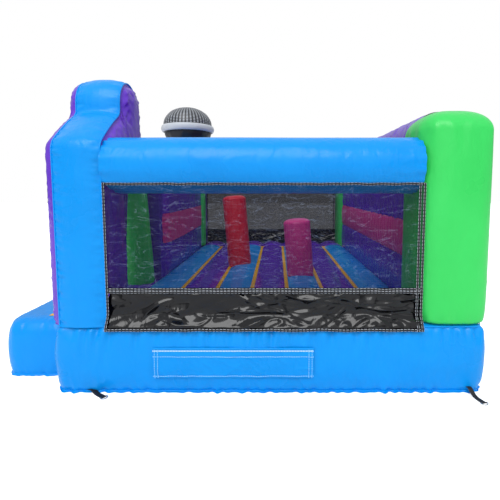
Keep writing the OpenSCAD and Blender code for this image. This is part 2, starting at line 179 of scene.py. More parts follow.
@dataclass(frozen=True)
class MeshNet:
    """Knotless woven polyester net: black threads with holes that let about half the light by."""
    name: str = "Knotless polyester window net"
    thread: str = "101116"
    sheen: str = "141824"
    glint: str = "7E8CA6"
    cover: float = 0.5
    pitch_m: float = 0.016

    def material(self) -> bpy.types.Material:
        """Makes the material. Real holes are about 2 mm; they are drawn at 16 mm so that they show.

        Returns:
            The material, part transparent.
        """
        mat, shader = new_material(self.name)
        uv = add_node(mat, "TexCoord").outputs["UV"]
        scaled = add_node(mat, "VectorMath", {0: uv}, operation="SCALE")
        scaled.inputs["Scale"].default_value = 1 / self.pitch_m
        cell = add_node(mat, "VectorMath", {0: scaled.outputs[0]}, operation="FRACTION")
        parts = add_node(mat, "SeparateXYZ", {0: cell.outputs[0]})
        u = add_node(mat, "Math", {0: parts.outputs[0]}, {1: 0.22}, operation="LESS_THAN")
        v = add_node(mat, "Math", {0: parts.outputs[1]}, {1: 0.22}, operation="LESS_THAN")
        both = add_node(mat, "Math", {0: u.outputs[0], 1: v.outputs[0]}, operation="MAXIMUM")
        alpha = add_node(mat, "MapRange", {"Value": both.outputs[0]},
                         {"To Min": self.cover - 0.03, "To Max": self.cover + 0.07})
        cloud = add_node(mat, "TexNoise", {"Vector": uv}, {"Scale": 3.5, "Detail": 4.0, "Distortion": 1.2})
        mix = add_node(mat, "Mix", {0: cloud.outputs["Fac"]}, data_type="RGBA")
        mix.inputs[6].default_value = linear(self.thread)
        mix.inputs[7].default_value = linear(self.sheen)
        # Painted glint: thin pale lines along a stretched, turned noise are mixed into the base colour in
        # place of highlights on the net's folds.
        turn = add_node(mat, "Mapping", {"Vector": uv})
        turn.inputs["Rotation"].default_value = (0, 0, math.radians(-32))
        turn.inputs["Scale"].default_value = (2.4, 9.0, 1)
        fold = add_node(mat, "TexNoise", {"Vector": turn.outputs[0]},
                        {"Scale": 1.1, "Detail": 3.0, "Distortion": 1.4})
        mid = add_node(mat, "Math", {0: fold.outputs["Fac"]}, {1: 0.5}, operation="SUBTRACT")
        mid = add_node(mat, "Math", {0: mid.outputs[0]}, operation="ABSOLUTE")
        line = add_node(mat, "MapRange", {"Value": mid.outputs[0]},
                        {"From Min": 0.016, "From Max": 0.0, "To Max": 0.5})
        glint = add_node(mat, "Mix", {0: line.outputs[0], 6: mix.outputs[2]}, data_type="RGBA")
        glint.inputs[7].default_value = linear(self.glint)
        tree = mat.node_tree.links
        tree.new(glint.outputs[2], shader.inputs["Base Color"])
        tree.new(alpha.outputs[0], shader.inputs["Alpha"])
        shader.inputs["Roughness"].default_value = 0.5
        shader.inputs["Specular IOR Level"].default_value = 0.15
        return mat


@dataclass(frozen=True)
class Webbing:
    """Woven polyester webbing or tape: ribs across the strap, with rows of stitching by its edges."""
    name: str
    colour: str
    stitch: str
    rib_m: float = 0.006
    rows: tuple[float, ...] = (0.2, 0.8)
    row_width: float = 0.06
    stitch_m: float = 0.018
    roughness: float = 0.62

    def material(self) -> bpy.types.Material:
        """Makes the material from the strap's UV map: u along it in metres, v across it from 0 to 1.

        Returns:
            The material.
        """
        mat, shader = new_material(self.name)
        uv = add_node(mat, "TexCoord").outputs["UV"]
        parts = add_node(mat, "SeparateXYZ", {0: uv})
        rib = add_node(mat, "Math", {0: parts.outputs[0]}, {1: 2 * math.pi / self.rib_m},
                       operation="MULTIPLY")
        wave = add_node(mat, "Math", {0: rib.outputs[0]}, operation="SINE")
        dash = add_node(mat, "Math", {0: parts.outputs[0]}, {1: 1 / self.stitch_m}, operation="MULTIPLY")
        dash = add_node(mat, "Math", {0: dash.outputs[0]}, operation="FRACT")
        dash = add_node(mat, "Math", {0: dash.outputs[0]}, {1: 0.68}, operation="LESS_THAN")
        near: Any = None
        for row in self.rows:
            here = add_node(mat, "Math", {0: parts.outputs[1]}, {1: row, 2: self.row_width},
                            operation="COMPARE")
            near = here if near is None else add_node(
                mat, "Math", {0: near.outputs[0], 1: here.outputs[0]}, operation="MAXIMUM")
        sewn = add_node(mat, "Math", {0: near.outputs[0], 1: dash.outputs[0]}, operation="MULTIPLY")
        mix = add_node(mat, "Mix", {0: sewn.outputs[0]}, data_type="RGBA")
        mix.inputs[6].default_value = linear(self.colour)
        mix.inputs[7].default_value = linear(self.stitch)
        bump = add_node(mat, "Bump", {"Height": wave.outputs[0]}, {"Strength": 0.25, "Distance": 0.001})
        tree = mat.node_tree.links
        tree.new(mix.outputs[2], shader.inputs["Base Color"])
        tree.new(bump.outputs[0], shader.inputs["Normal"])
        shader.inputs["Roughness"].default_value = self.roughness
        return mat


@dataclass(frozen=True)
class DottedFabric:
    """Coated fabric with a printed grid of pale round dots, as on a microphone's grille."""
    name: str = "Dot-printed PVC-coated polyester"
    ground: str = "1B1D21"
    dot: str = "A9ADB3"
    pitch: tuple[float, float] = (0.062, 0.05)
    dot_r: float = 0.3

    def material(self) -> bpy.types.Material:
        """Makes the material from a UV map in metres, with a dot in each cell.

        Returns:
            The material.
        """
        mat, shader = new_material(self.name)
        uv = add_node(mat, "TexCoord").outputs["UV"]
        cells = add_node(mat, "VectorMath", {0: uv}, operation="DIVIDE")
        cells.inputs[1].default_value = (self.pitch[0], self.pitch[1], 1.0)
        cell = add_node(mat, "VectorMath", {0: cells.outputs[0]}, operation="FRACTION")
        off = add_node(mat, "VectorMath", {0: cell.outputs[0]}, operation="SUBTRACT")
        off.inputs[1].default_value = (0.5, 0.5, 0.0)
        reach = add_node(mat, "VectorMath", {0: off.outputs[0]}, operation="LENGTH")
        inside = add_node(mat, "MapRange", {"Value": reach.outputs["Value"]},
                          {"From Min": self.dot_r + 0.08, "From Max": self.dot_r - 0.08})
        mix = add_node(mat, "Mix", {0: inside.outputs[0]}, data_type="RGBA")
        mix.inputs[6].default_value = linear(self.ground)
        mix.inputs[7].default_value = linear(self.dot)
        bump = add_node(mat, "Bump", {"Height": inside.outputs[0]}, {"Strength": 0.15, "Distance": 0.002})
        mat.node_tree.links.new(mix.outputs[2], shader.inputs["Base Color"])
        mat.node_tree.links.new(bump.outputs[0], shader.inputs["Normal"])
        shader.inputs["Roughness"].default_value = 0.4
        return mat


@dataclass(frozen=True)
class ZincPlate:
    """Bright zinc-plated steel wire: a pale metal with a faint cloudy spangle."""
    name: str = "Zinc-plated steel"
    colour: str = "B9BCC0"
    roughness: float = 0.3

    def material(self) -> bpy.types.Material:
        """Makes the material.

        Returns:
            The material, on Object coordinates.
        """
        mat, shader = new_material(self.name)
        at = add_node(mat, "TexCoord").outputs["Object"]
        spangle = add_node(mat, "TexNoise", {"Vector": at}, {"Scale": 260.0, "Detail": 2.0})
        rough = add_node(mat, "MapRange", {"Value": spangle.outputs["Fac"]},
                         {"To Min": self.roughness - 0.1, "To Max": self.roughness + 0.14})
        mat.node_tree.links.new(rough.outputs[0], shader.inputs["Roughness"])
        shader.inputs["Base Color"].default_value = linear(self.colour)
        shader.inputs["Metallic"].default_value = 1.0
        return mat


class Finish(Enum):
    """Every finish on the bounce house."""
    BLUE = CoatedFabric("Blue PVC-coated polyester", "0097EC", "0089DC", 0.3, 0.5, gloss=0.22)
    PURPLE = CoatedFabric("Purple PVC-coated polyester", "6A34C8", "5828B4", 0.2, 0.5, gloss=0.5)
    GREEN = CoatedFabric("Green PVC-coated polyester", "3CD764", "30C656", 0.32, 0.45)
    YELLOW = CoatedFabric("Yellow PVC-coated polyester", "F5BC0E", "E8A800", 0.4, 0.2)
    RED = CoatedFabric("Red PVC-coated polyester", "DE1F3C", "C81432", 0.36)
    MAGENTA = CoatedFabric("Magenta PVC-coated polyester", "E8459C", "D2338A", 0.36)
    BLACK = CoatedFabric("Black gloss PVC film", "06060A", "030305", 0.1, 0.3, 0.1, 0.42)
    DEEP_BLUE = CoatedFabric("Navy PVC-coated groundsheet", "1B4FB0", "16429A", 0.5, 0.2)
    WEB = CoatedFabric("White PVC-coated baffle sheet", "D8D9DA", "C9CACC", 0.5, 0.15)
    HANDLE = CoatedFabric("Charcoal PVC-coated polyester", "24262B", "1B1D21", 0.36)
    COLLAR = CoatedFabric("Grey PVC-coated polyester", "C9CDD2", "B4B8BE", 0.36)
    DOTS = DottedFabric()
    NET = MeshNet()
    # Painted shade: the far side has the same net as the near one, drawn with 93% cover so that it reads
    # nearly black, in place of the shade inside the castle seen through two nets.
    FAR_NET_PAINTED_SHADE = MeshNet("Polyester window net darkened for painted shade", cover=0.93)
    BINDING = Webbing("Black polyester binding with grey thread", "0C0C10", "B9BEC6", rows=(0.15, 0.85),
                      row_width=0.11,
                      stitch_m=0.03)
    STRAP = Webbing("Black polyester anchor webbing", "0E0E10", "2C2D30")
    ZIP = Webbing("Nylon coil zip on black tape", "131318", "4A4B50", 0.004, (0.5,), 0.12, 0.003)
    THREAD = Webbing("White bonded polyester stitching", "35A6F2", "D8EEFF", 0.01, (0.5,), 0.5, 0.013, 0.45)
    FINE_THREAD = Webbing("Pale blue bonded polyester stitching", "1E97EE", "86CBFA", 0.01, (0.5,), 0.5, 0.02,
                          0.45)
    ZINC = ZincPlate()


class Wardrobe:
    """Keeps one material for each finish."""

    def __init__(self) -> None:
        """Starts empty."""
        self.made: dict[Finish, bpy.types.Material] = {}

    def get(self, finish: Finish) -> bpy.types.Material:
        """Returns the finish's material, and makes it the first time."""
        if finish not in self.made:
            self.made[finish] = finish.value.material()
        return self.made[finish]


WARDROBE = Wardrobe()


# ---- surfaces ----

def skin(name: str, points: Array, finish: Finish, inside: Optional[tuple[float, ...]] = None,
         facing: Optional[tuple[float, ...]] = None, wrap: tuple[bool, bool] = (False, False),
         span: tuple[float, float] = (1.0, 1.0), start: tuple[float, float] = (0.0, 0.0)) -> bpy.types.Object:
    """Makes a smooth quad surface from a grid of points, and turns its faces outwards.

    Args:
        name: the piece's name.
        points: shape (m, n, 3).
        finish: its finish.
        inside: a point that the faces look away from.
        facing: a direction that they look along instead.
        wrap: whether the last row, and the last column, joins the first.
        span: what u and v grow to across the grid.
        start: what they start from.
    Returns:
        The object, at the origin.
    """
    m, n, _ = points.shape
    i, j = grid(np.arange(m if wrap[0] else m - 1), np.arange(n if wrap[1] else n - 1))
    i, j = i.ravel(), j.ravel()
    corner = np.stack([i, i + 1, i + 1, i], 1), np.stack([j, j, j + 1, j + 1], 1)
    quads = (corner[0] % m) * n + corner[1] % n
    flat = points.reshape(-1, 3)
    normal = np.cross(flat[quads[:, 2]] - flat[quads[:, 0]], flat[quads[:, 3]] - flat[quads[:, 1]])
    look = flat[quads].mean(1) - np.array(inside) if inside is not None else np.array(facing or (0, 0, 1))
    if (normal * look).sum() < 0:
        quads, corner = quads[:, ::-1], (corner[0][:, ::-1], corner[1][:, ::-1])
    mesh = bpy.data.meshes.new(name)
    mesh.from_pydata(flat, [], quads)
    rows, cols = (m if wrap[0] else m - 1), (n if wrap[1] else n - 1)
    uv = np.stack([start[0] + corner[0] / rows * span[0], start[1] + corner[1] / cols * span[1]], 2)
    mesh.uv_layers.new(name="UVMap").data.foreach_set("uv", uv.astype(np.float32).ravel())
    work = bmesh.new()
    work.from_mesh(mesh)
    bmesh.ops.remove_doubles(work, verts=work.verts, dist=2e-5)
    bmesh.ops.dissolve_degenerate(work, edges=work.edges, dist=1e-6)
    work.to_mesh(mesh)
    work.free()
    mesh.polygons.foreach_set("use_smooth", np.ones(len(mesh.polygons), bool))
    mesh.materials.append(WARDROBE.get(finish))
    obj = bpy.data.objects.new(name, mesh)
    bpy.context.scene.collection.objects.link(obj)
    return obj


def join(name: str, parts: list[bpy.types.Object]) -> bpy.types.Object:
    """Joins pieces of one finish into one object.

    Args:
        name: the joined object's name.
        parts: at least one object.
    Returns:
        The joined object.
    """
    bpy.ops.object.select_all(action="DESELECT")
    for part in parts:
        part.select_set(True)
    bpy.context.view_layer.objects.active = parts[0]
    if len(parts) > 1:
        bpy.ops.object.join()
    parts[0].name = name
    parts[0].data.name = name
    return parts[0]


def dress(obj: bpy.types.Object, body: str, slot: str, *nodes: str, air: bool = False) -> bpy.types.Object:
    """Ties a finished piece to its body, and hides the CAD nodes that it stands for.

    Args:
        obj: the piece.
        body: the CAD body that it rides on.
        slot: the record's material slot; not used.
        nodes: CAD nodes that it replaces.
        air: whether it is a tight, inflated piece; not used.
    Returns:
        The piece.
    """
    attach(obj, body)
    if nodes:
        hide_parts(*nodes)
    log.info("%s on %s, %d faces", obj.name, body, len(obj.data.polygons))
    return obj


def ripple(u: Array, v: Array, seed: int, wave: float, turn: float = 0.35, count: int = 9) -> Array:
    """Soft ripples: the mean of sine waves near one wavelength, running roughly along u.

    Args:
        u: position along the ripples' run, in metres.
        v: position across it.
        seed: which ripples.
        wave: their wavelength in metres.
        turn: spread of their directions, in radians.
        count: how many waves are summed.
    Returns:
        Heights of about -1 to 1, with the shape of u + v.
    """
    rng = np.random.default_rng(seed)
    k = 2 * math.pi / wave * rng.uniform(0.55, 1.6, count)
    angle, phase = rng.normal(0, turn, count), rng.uniform(0, 2 * math.pi, count)
    u, v = np.broadcast_arrays(u, v)
    waves = np.sin(np.multiply.outer(u, k * np.cos(angle)) + np.multiply.outer(v, k * np.sin(angle)) + phase)
    return waves.sum(-1) / math.sqrt(count)


def creases(u: Array, v: Array, seed: int, box: tuple[float, float, float, float], count: int,
            length: float, width: float, angle: float = 0.0, spread: float = 0.5) -> Array:
    """Sharp folds: each is a tent along a short, slightly bent line at a random place.

    Args:
        u, v: position on the sheet in metres.
        seed: which folds.
        box: lowest u and v, highest u and v, of their middles.
        count: how many.
        length: their usual length.
        width: their usual width.
        angle: their usual direction, in radians from u.
        spread: spread of the directions.
    Returns:
        Heights, about 1 at a fold's ridge.
    """
    rng = np.random.default_rng(seed)
    total = np.zeros(np.broadcast(u, v).shape)
    for _ in range(count):
        cu, cv = rng.uniform(box[0], box[2]), rng.uniform(box[1], box[3])
        a, half, w = rng.normal(angle, spread), length * rng.uniform(0.3, 0.8), width * rng.uniform(0.5, 1.5)
        along = (u - cu) * math.cos(a) + (v - cv) * math.sin(a)
        across = -(u - cu) * math.sin(a) + (v - cv) * math.cos(a) - rng.normal(0, 0.35) * along ** 2 / half
        tent = np.exp(-np.abs(across) / w) * np.clip(1 - (along / half) ** 2, 0, 1)
        total = np.maximum(total, tent * rng.uniform(0.4, 1.0)) if rng.random() < 0.8 else total - 0.5 * tent
    return total


def spread(*stops: float, step: float = 0.02) -> Array:
    """Numbers from the first stop to the last, which hold every stop, about step apart."""
    parts = [np.linspace(a, b, max(2, int(round(abs(b - a) / step)) + 1))[:-1] for a,
             b in zip(stops, stops[1:])]
    return np.concatenate(parts + [np.array([stops[-1]])])


def grid(x: Array, y: Array) -> list[Array]:
    """Every x with every y, as two arrays of one shape."""
    return np.meshgrid(x, y, indexing="ij")


def quarter(t: Array) -> Array:
    """A quarter circle's rise: 0 at t = 0, and 1 from t = 1 on."""
    return np.sqrt(np.clip(1 - (1 - np.clip(t, 0, 1)) ** 2, 0, 1))


def smoothed(values: Array, weights: Array) -> Array:
    """Each column's moving average, with its two ends held."""
    reach = len(weights) // 2
    kernel = weights / weights.sum()
    return np.apply_along_axis(lambda c: np.convolve(np.pad(c, reach, "edge"), kernel, "valid"), 0, values)


def reshape(obj: bpy.types.Object, change: Callable[[Array], Array]) -> None:
    """Moves a piece's points in its own mesh.

    Args:
        obj: the piece.
        change: takes points of shape (n, 3) and returns their new places.
    """
    co = np.zeros(len(obj.data.vertices) * 3, np.float32)
    obj.data.vertices.foreach_get("co", co)
    obj.data.vertices.foreach_set("co", change(co.reshape(-1, 3)).astype(np.float32).ravel())
    obj.data.update()


def along_path(path: Array) -> Array:
    """Distance along a line of points, from its first."""
    return np.concatenate([[0.0], np.cumsum(np.linalg.norm(np.diff(path, axis=0), axis=1))])


def strap(name: str, path: Array, up: Array, width: float, lift: float, finish: Finish,
          crown: float = 0.001, across: int = 5) -> bpy.types.Object:
    """A flat strap or tape: a short crowned profile carried along a path, with its edges turned down.

    Args:
        name: the piece's name.
        path: shape (m, 3), its middle line on what it lies on.
        up: shape (m, 3) or (3,), the way its face looks.
        width: its width.
        lift: its height above the path.
        finish: its finish.
        crown: how much higher its middle is.
        across: columns across its face.
    Returns:
        The strap; u runs along it in metres, and v from 0 to 1 across it.
    """
    up = np.broadcast_to(np.asarray(up, float), path.shape)
    run = np.gradient(path, axis=0)
    side = np.cross(run, up)
    side /= np.linalg.norm(side, axis=1, keepdims=True)
    t = np.concatenate([[-1.0], np.linspace(-1, 1, across), [1.0]])
    height = np.concatenate([[0.0], lift + crown * (1 - np.linspace(-1, 1, across) ** 2), [0.0]])
    points = path[:, None] + side[:, None] * (t * width / 2)[:, None] + up[:, None] * height[:, None]
    return skin(name, points, finish, facing=tuple(up.mean(0)), span=(along_path(path)[-1], 1.0))


def turned(name: str, centre: tuple[float, float], r: Array, z: Array, finish: Finish,
           wrinkle: Optional[Callable[[Array, Array], Array]] = None, turns: int = 96,
           square: float = 2.0) -> bpy.types.Object:
    """An upright turned surface with wrinkles: radius r at height z, plus wrinkle(arc, row).

    A plan power above 2 squares the circle: radius over (|cos|^p + |sin|^p)^(1/p).

    Args:
        name: the piece's name.
        centre: its axis in X and Y.
        r, z: the outline from the bottom up; a radius of 0 closes an end.
        finish: its finish.
        wrinkle: takes arc length and outline length, and returns metres outwards.
        turns: columns round it.
        square: the plan's power; 2 is a circle.
    Returns:
        The surface; u runs round it and v up it, in metres.
    """
    a = np.linspace(0, 2 * math.pi, turns, endpoint=False)
    s = along_path(np.stack([r, z], 1))
    radius = np.broadcast_to(r, (turns, len(r))).copy()
    biggest = float(r.max())
    if wrinkle is not None:
        radius += wrinkle((a * biggest)[:, None], s[None]) * np.clip(r / biggest * 2.5, 0, 1)
    plan = (np.abs(np.cos(a)) ** square + np.abs(np.sin(a)) ** square) ** (-1 / square)
    radius = radius * plan[:, None]
    points = np.stack([centre[0] + radius * np.cos(a)[:, None], centre[1] + radius * np.sin(a)[:, None],
                       np.broadcast_to(z, radius.shape)], 2)
    return skin(name, points, finish, inside=(centre[0], centre[1], float(z.mean())), wrap=(True, False),
                span=(2 * math.pi * biggest, float(s[-1])))


def round_rect(x0: float, x1: float, y0: float, y1: float, r: float, step: float) -> tuple[Array, Array]:
    """A rounded rectangle: four arcs of radius r joined by straight sides, anticlockwise.

    Args:
        x0, x1, y0, y1: its sides.
        r: its corner radius.
        step: distance between its points.
    Returns:
        Its points and outward normals, each of shape (m, 2).
    """
    points, normals = [], []
    for cx, cy, a0 in ((x1 - r, y1 - r, 0.0), (x0 + r, y1 - r, 90.0), (x0 + r, y0 + r, 180.0),
                       (x1 - r, y0 + r, 270.0)):
        a = np.radians(np.linspace(a0, a0 + 90, 12))
        n = np.stack([np.cos(a), np.sin(a)], 1)
        points.append(np.array([cx, cy]) + r * n)
        normals.append(n)
    out_p, out_n = [], []
    for k in range(4):
        a, b = points[k][-1], points[(k + 1) % 4][0]
        count = max(2, int(np.linalg.norm(b - a) / step))
        t = np.linspace(0, 1, count)[1:-1, None]
        out_p += [points[k], a + (b - a) * t]
        out_n += [normals[k], np.repeat(normals[k][-1:], len(t), 0)]
    return np.concatenate(out_p), np.concatenate(out_n)


# ---- base and floor ----

@dataclass
class Base:
    """The blue base ring: one skirt that runs round four corners, pinched at its top and bottom seams."""
    half_x: float
    half_y: float
    height: float
    corner_r: float = 0.1
    bulge: float = 0.05

    def profile(self) -> tuple[Array, Array]:
        """The skirt's outline: a ground flap, a bulged side, a pinched seam and a top that runs inwards.

        Returns:
            Outward offsets and heights.
        """
        t = np.linspace(0, 1, 44)
        side = self.bulge * np.sin(math.pi * t) ** 0.55
        off = np.concatenate([[0.026, 0.012, 0.0], side, [-0.012, -0.035, -0.07, -0.11, -0.2]])
        z = np.concatenate([[0.001, 0.004, 0.007], 0.012 + (self.height - 0.032) * t,
                            [self.height - 0.006, self.height + 0.001, self.height + 0.003,
                             self.height + 0.002,
                             self.height - 0.012]])
        return off, z

    def build(self) -> None:
        """Makes the skirt, its top seam and its ground flap."""
        path, normal = round_rect(-self.half_x, self.half_x, -self.half_y, self.half_y, self.corner_r, 0.016)
        s = along_path(path)
        off, z = self.profile()
        body = np.clip(off / self.bulge, 0, 1) * ((z > 0.01) & (z < self.height - 0.01))
        below = self.height - z
        top = np.exp(-np.abs(below - 0.02) / 0.11) * (z > 0.02) * np.clip(below / 0.05, 0, 1)
        foot = np.exp(-z / 0.06)
        pleat = ripple(s[:, None], z[None], 3, 0.12, 0.2)
        push = (0.013 * np.where(pleat > 0, pleat, 1.7 * pleat) * top
                + 0.009 * ripple(s[:, None], z[None], 4, 0.11, 0.3) * foot
                + 0.005 * ripple(s[:, None], 1.6 * z[None], 5, 0.62, 0.7) * body
                + 0.0045 * creases(s[:, None], z[None], 6, (0, 0.05, float(s[-1]), 0.55), 150, 0.34, 0.012,
                                   0.9, 0.9)
                * body)
        reach = off[None] + push
        points = np.concatenate([path[:, None] + normal[:, None] * reach[..., None],
                                 np.broadcast_to(z, reach.shape)[..., None]], 2)
        skirt = skin("base_skirt", points, Finish.BLUE, inside=(0, 0, 0.3), wrap=(True, False))
        dress(skirt, CASTLE, "pvc_blue", "base_front", "base_rear", "base_near", "base_far", air=True)
        seam = path + normal * (np.interp(self.height - 0.012, z[3:-5], off[3:-5]) + 0.002)
        loop = np.concatenate([seam, seam[:1]])
        line = np.column_stack([loop, np.full(len(loop), self.height - 0.013)])
        out = np.column_stack([np.concatenate([normal, normal[:1]]), np.full(len(loop), 0.5)])
        out /= np.linalg.norm(out, axis=1, keepdims=True)
        welt = strap("base_top_welt", line, out, 0.016, 0.004, Finish.BLUE, 0.003)
        dress(welt, CASTLE, "pvc_blue")
        gx, gy = grid(np.linspace(0.01 - self.half_x, self.half_x - 0.01, 40),
                      np.linspace(0.01 - self.half_y, self.half_y - 0.01, 40))
        sheet = np.stack([gx, gy, np.full_like(gx, 0.003)], 2)
        dress(skin("ground_sheet", sheet, Finish.DEEP_BLUE, facing=(0, 0, -1)), CASTLE, "groundsheet",
              "groundsheet")


@dataclass
class Floor:
    """Seven crowned cells with yellow seam tapes, and a purple border across each end."""
    x0: float
    x1: float
    seam_z: float
    crown: float
    reach: float
    cells: int = 7
    panel_y: float = 1.725
    tape_w: float = 0.045

    def height(self, x: Array, y: Array) -> Array:
        """Height of the floor: a flattened arch across each cell, lower at the cross seams.

        Args:
            x, y: points on the floor.
        Returns:
            Heights in metres.
        """
        width = (self.x1 - self.x0) / self.cells
        u = np.mod((x - self.x0) / width, 1.0)
        arch = 1 - np.abs(2 * u - 1) ** 2.4
        dip = 1 - 0.55 * np.exp(-((np.abs(y) - self.panel_y) / 0.05) ** 2)
        end = np.clip((self.reach - np.abs(y)) / 0.06, 0, 1) ** 0.5
        pucker = ripple(y, x, 11, 0.075, 0.3) * np.exp(-np.minimum(u, 1 - u) * width / 0.05)
        slow = ripple(x, y, 12, 0.5, 3.0)
        return self.seam_z + self.crown * arch * dip * end + 0.0035 * pucker + 0.0025 * slow * arch

    def patch(self, name: str, x: Array, y: Array, finish: Finish, lift: float = 0.0) -> bpy.types.Object:
        """A piece of the floor over x and y."""
        gx, gy = grid(x, y)
        return skin(name, np.stack([gx, gy, self.height(gx, gy) + lift], 2), finish, facing=(0, 0, 1))

    def build(self) -> None:
        """Makes the cells, borders and tapes."""
        width = (self.x1 - self.x0) / self.cells
        y = spread(-self.panel_y, self.panel_y, step=0.018)
        for k in range(self.cells):
            x = spread(self.x0 + k * width + 1e-4, self.x0 + (k + 1) * width - 1e-4, step=0.016)
            blue = k % 2 == 0
            cell = self.patch(f"floor_panel_{k + 1}", x, y, Finish.BLUE if blue else Finish.PURPLE)
            dress(cell, CASTLE, "pvc_blue" if blue else "pvc_purple", f"floor_cell_{k + 1}", air=True)
        x = spread(self.x0 + 1e-4, self.x1 - 1e-4, step=0.016)
        ends = [self.patch(f"border_{s}", x, s * spread(self.panel_y, self.reach, step=0.016), Finish.PURPLE)
                for s in (-1, 1)]
        dress(join("floor_borders", ends), CASTLE, "pvc_purple", air=True)
        tapes = []
        for k in range(1, self.cells):
            line = np.stack([np.full_like(y, self.x0 + k * width), y, np.full_like(y, self.seam_z + 0.013)],
                            1)
            tapes.append(strap(f"tape_{k}", line, (0, 0, 1), self.tape_w, 0.004, Finish.YELLOW, 0.004))
        for s in (-1, 1):
            z = self.height(x, np.full_like(x, s * self.panel_y))
            line = np.stack([x, np.full_like(x, s * self.panel_y), z], 1)
            tapes.append(strap(f"cross_{s}", line, (0, 0, 1), self.tape_w, 0.005, Finish.YELLOW, 0.003))
        dress(join("floor_tapes", tapes), CASTLE, "pvc_yellow", "floor_seam_tapes")


# ---- front wall ----

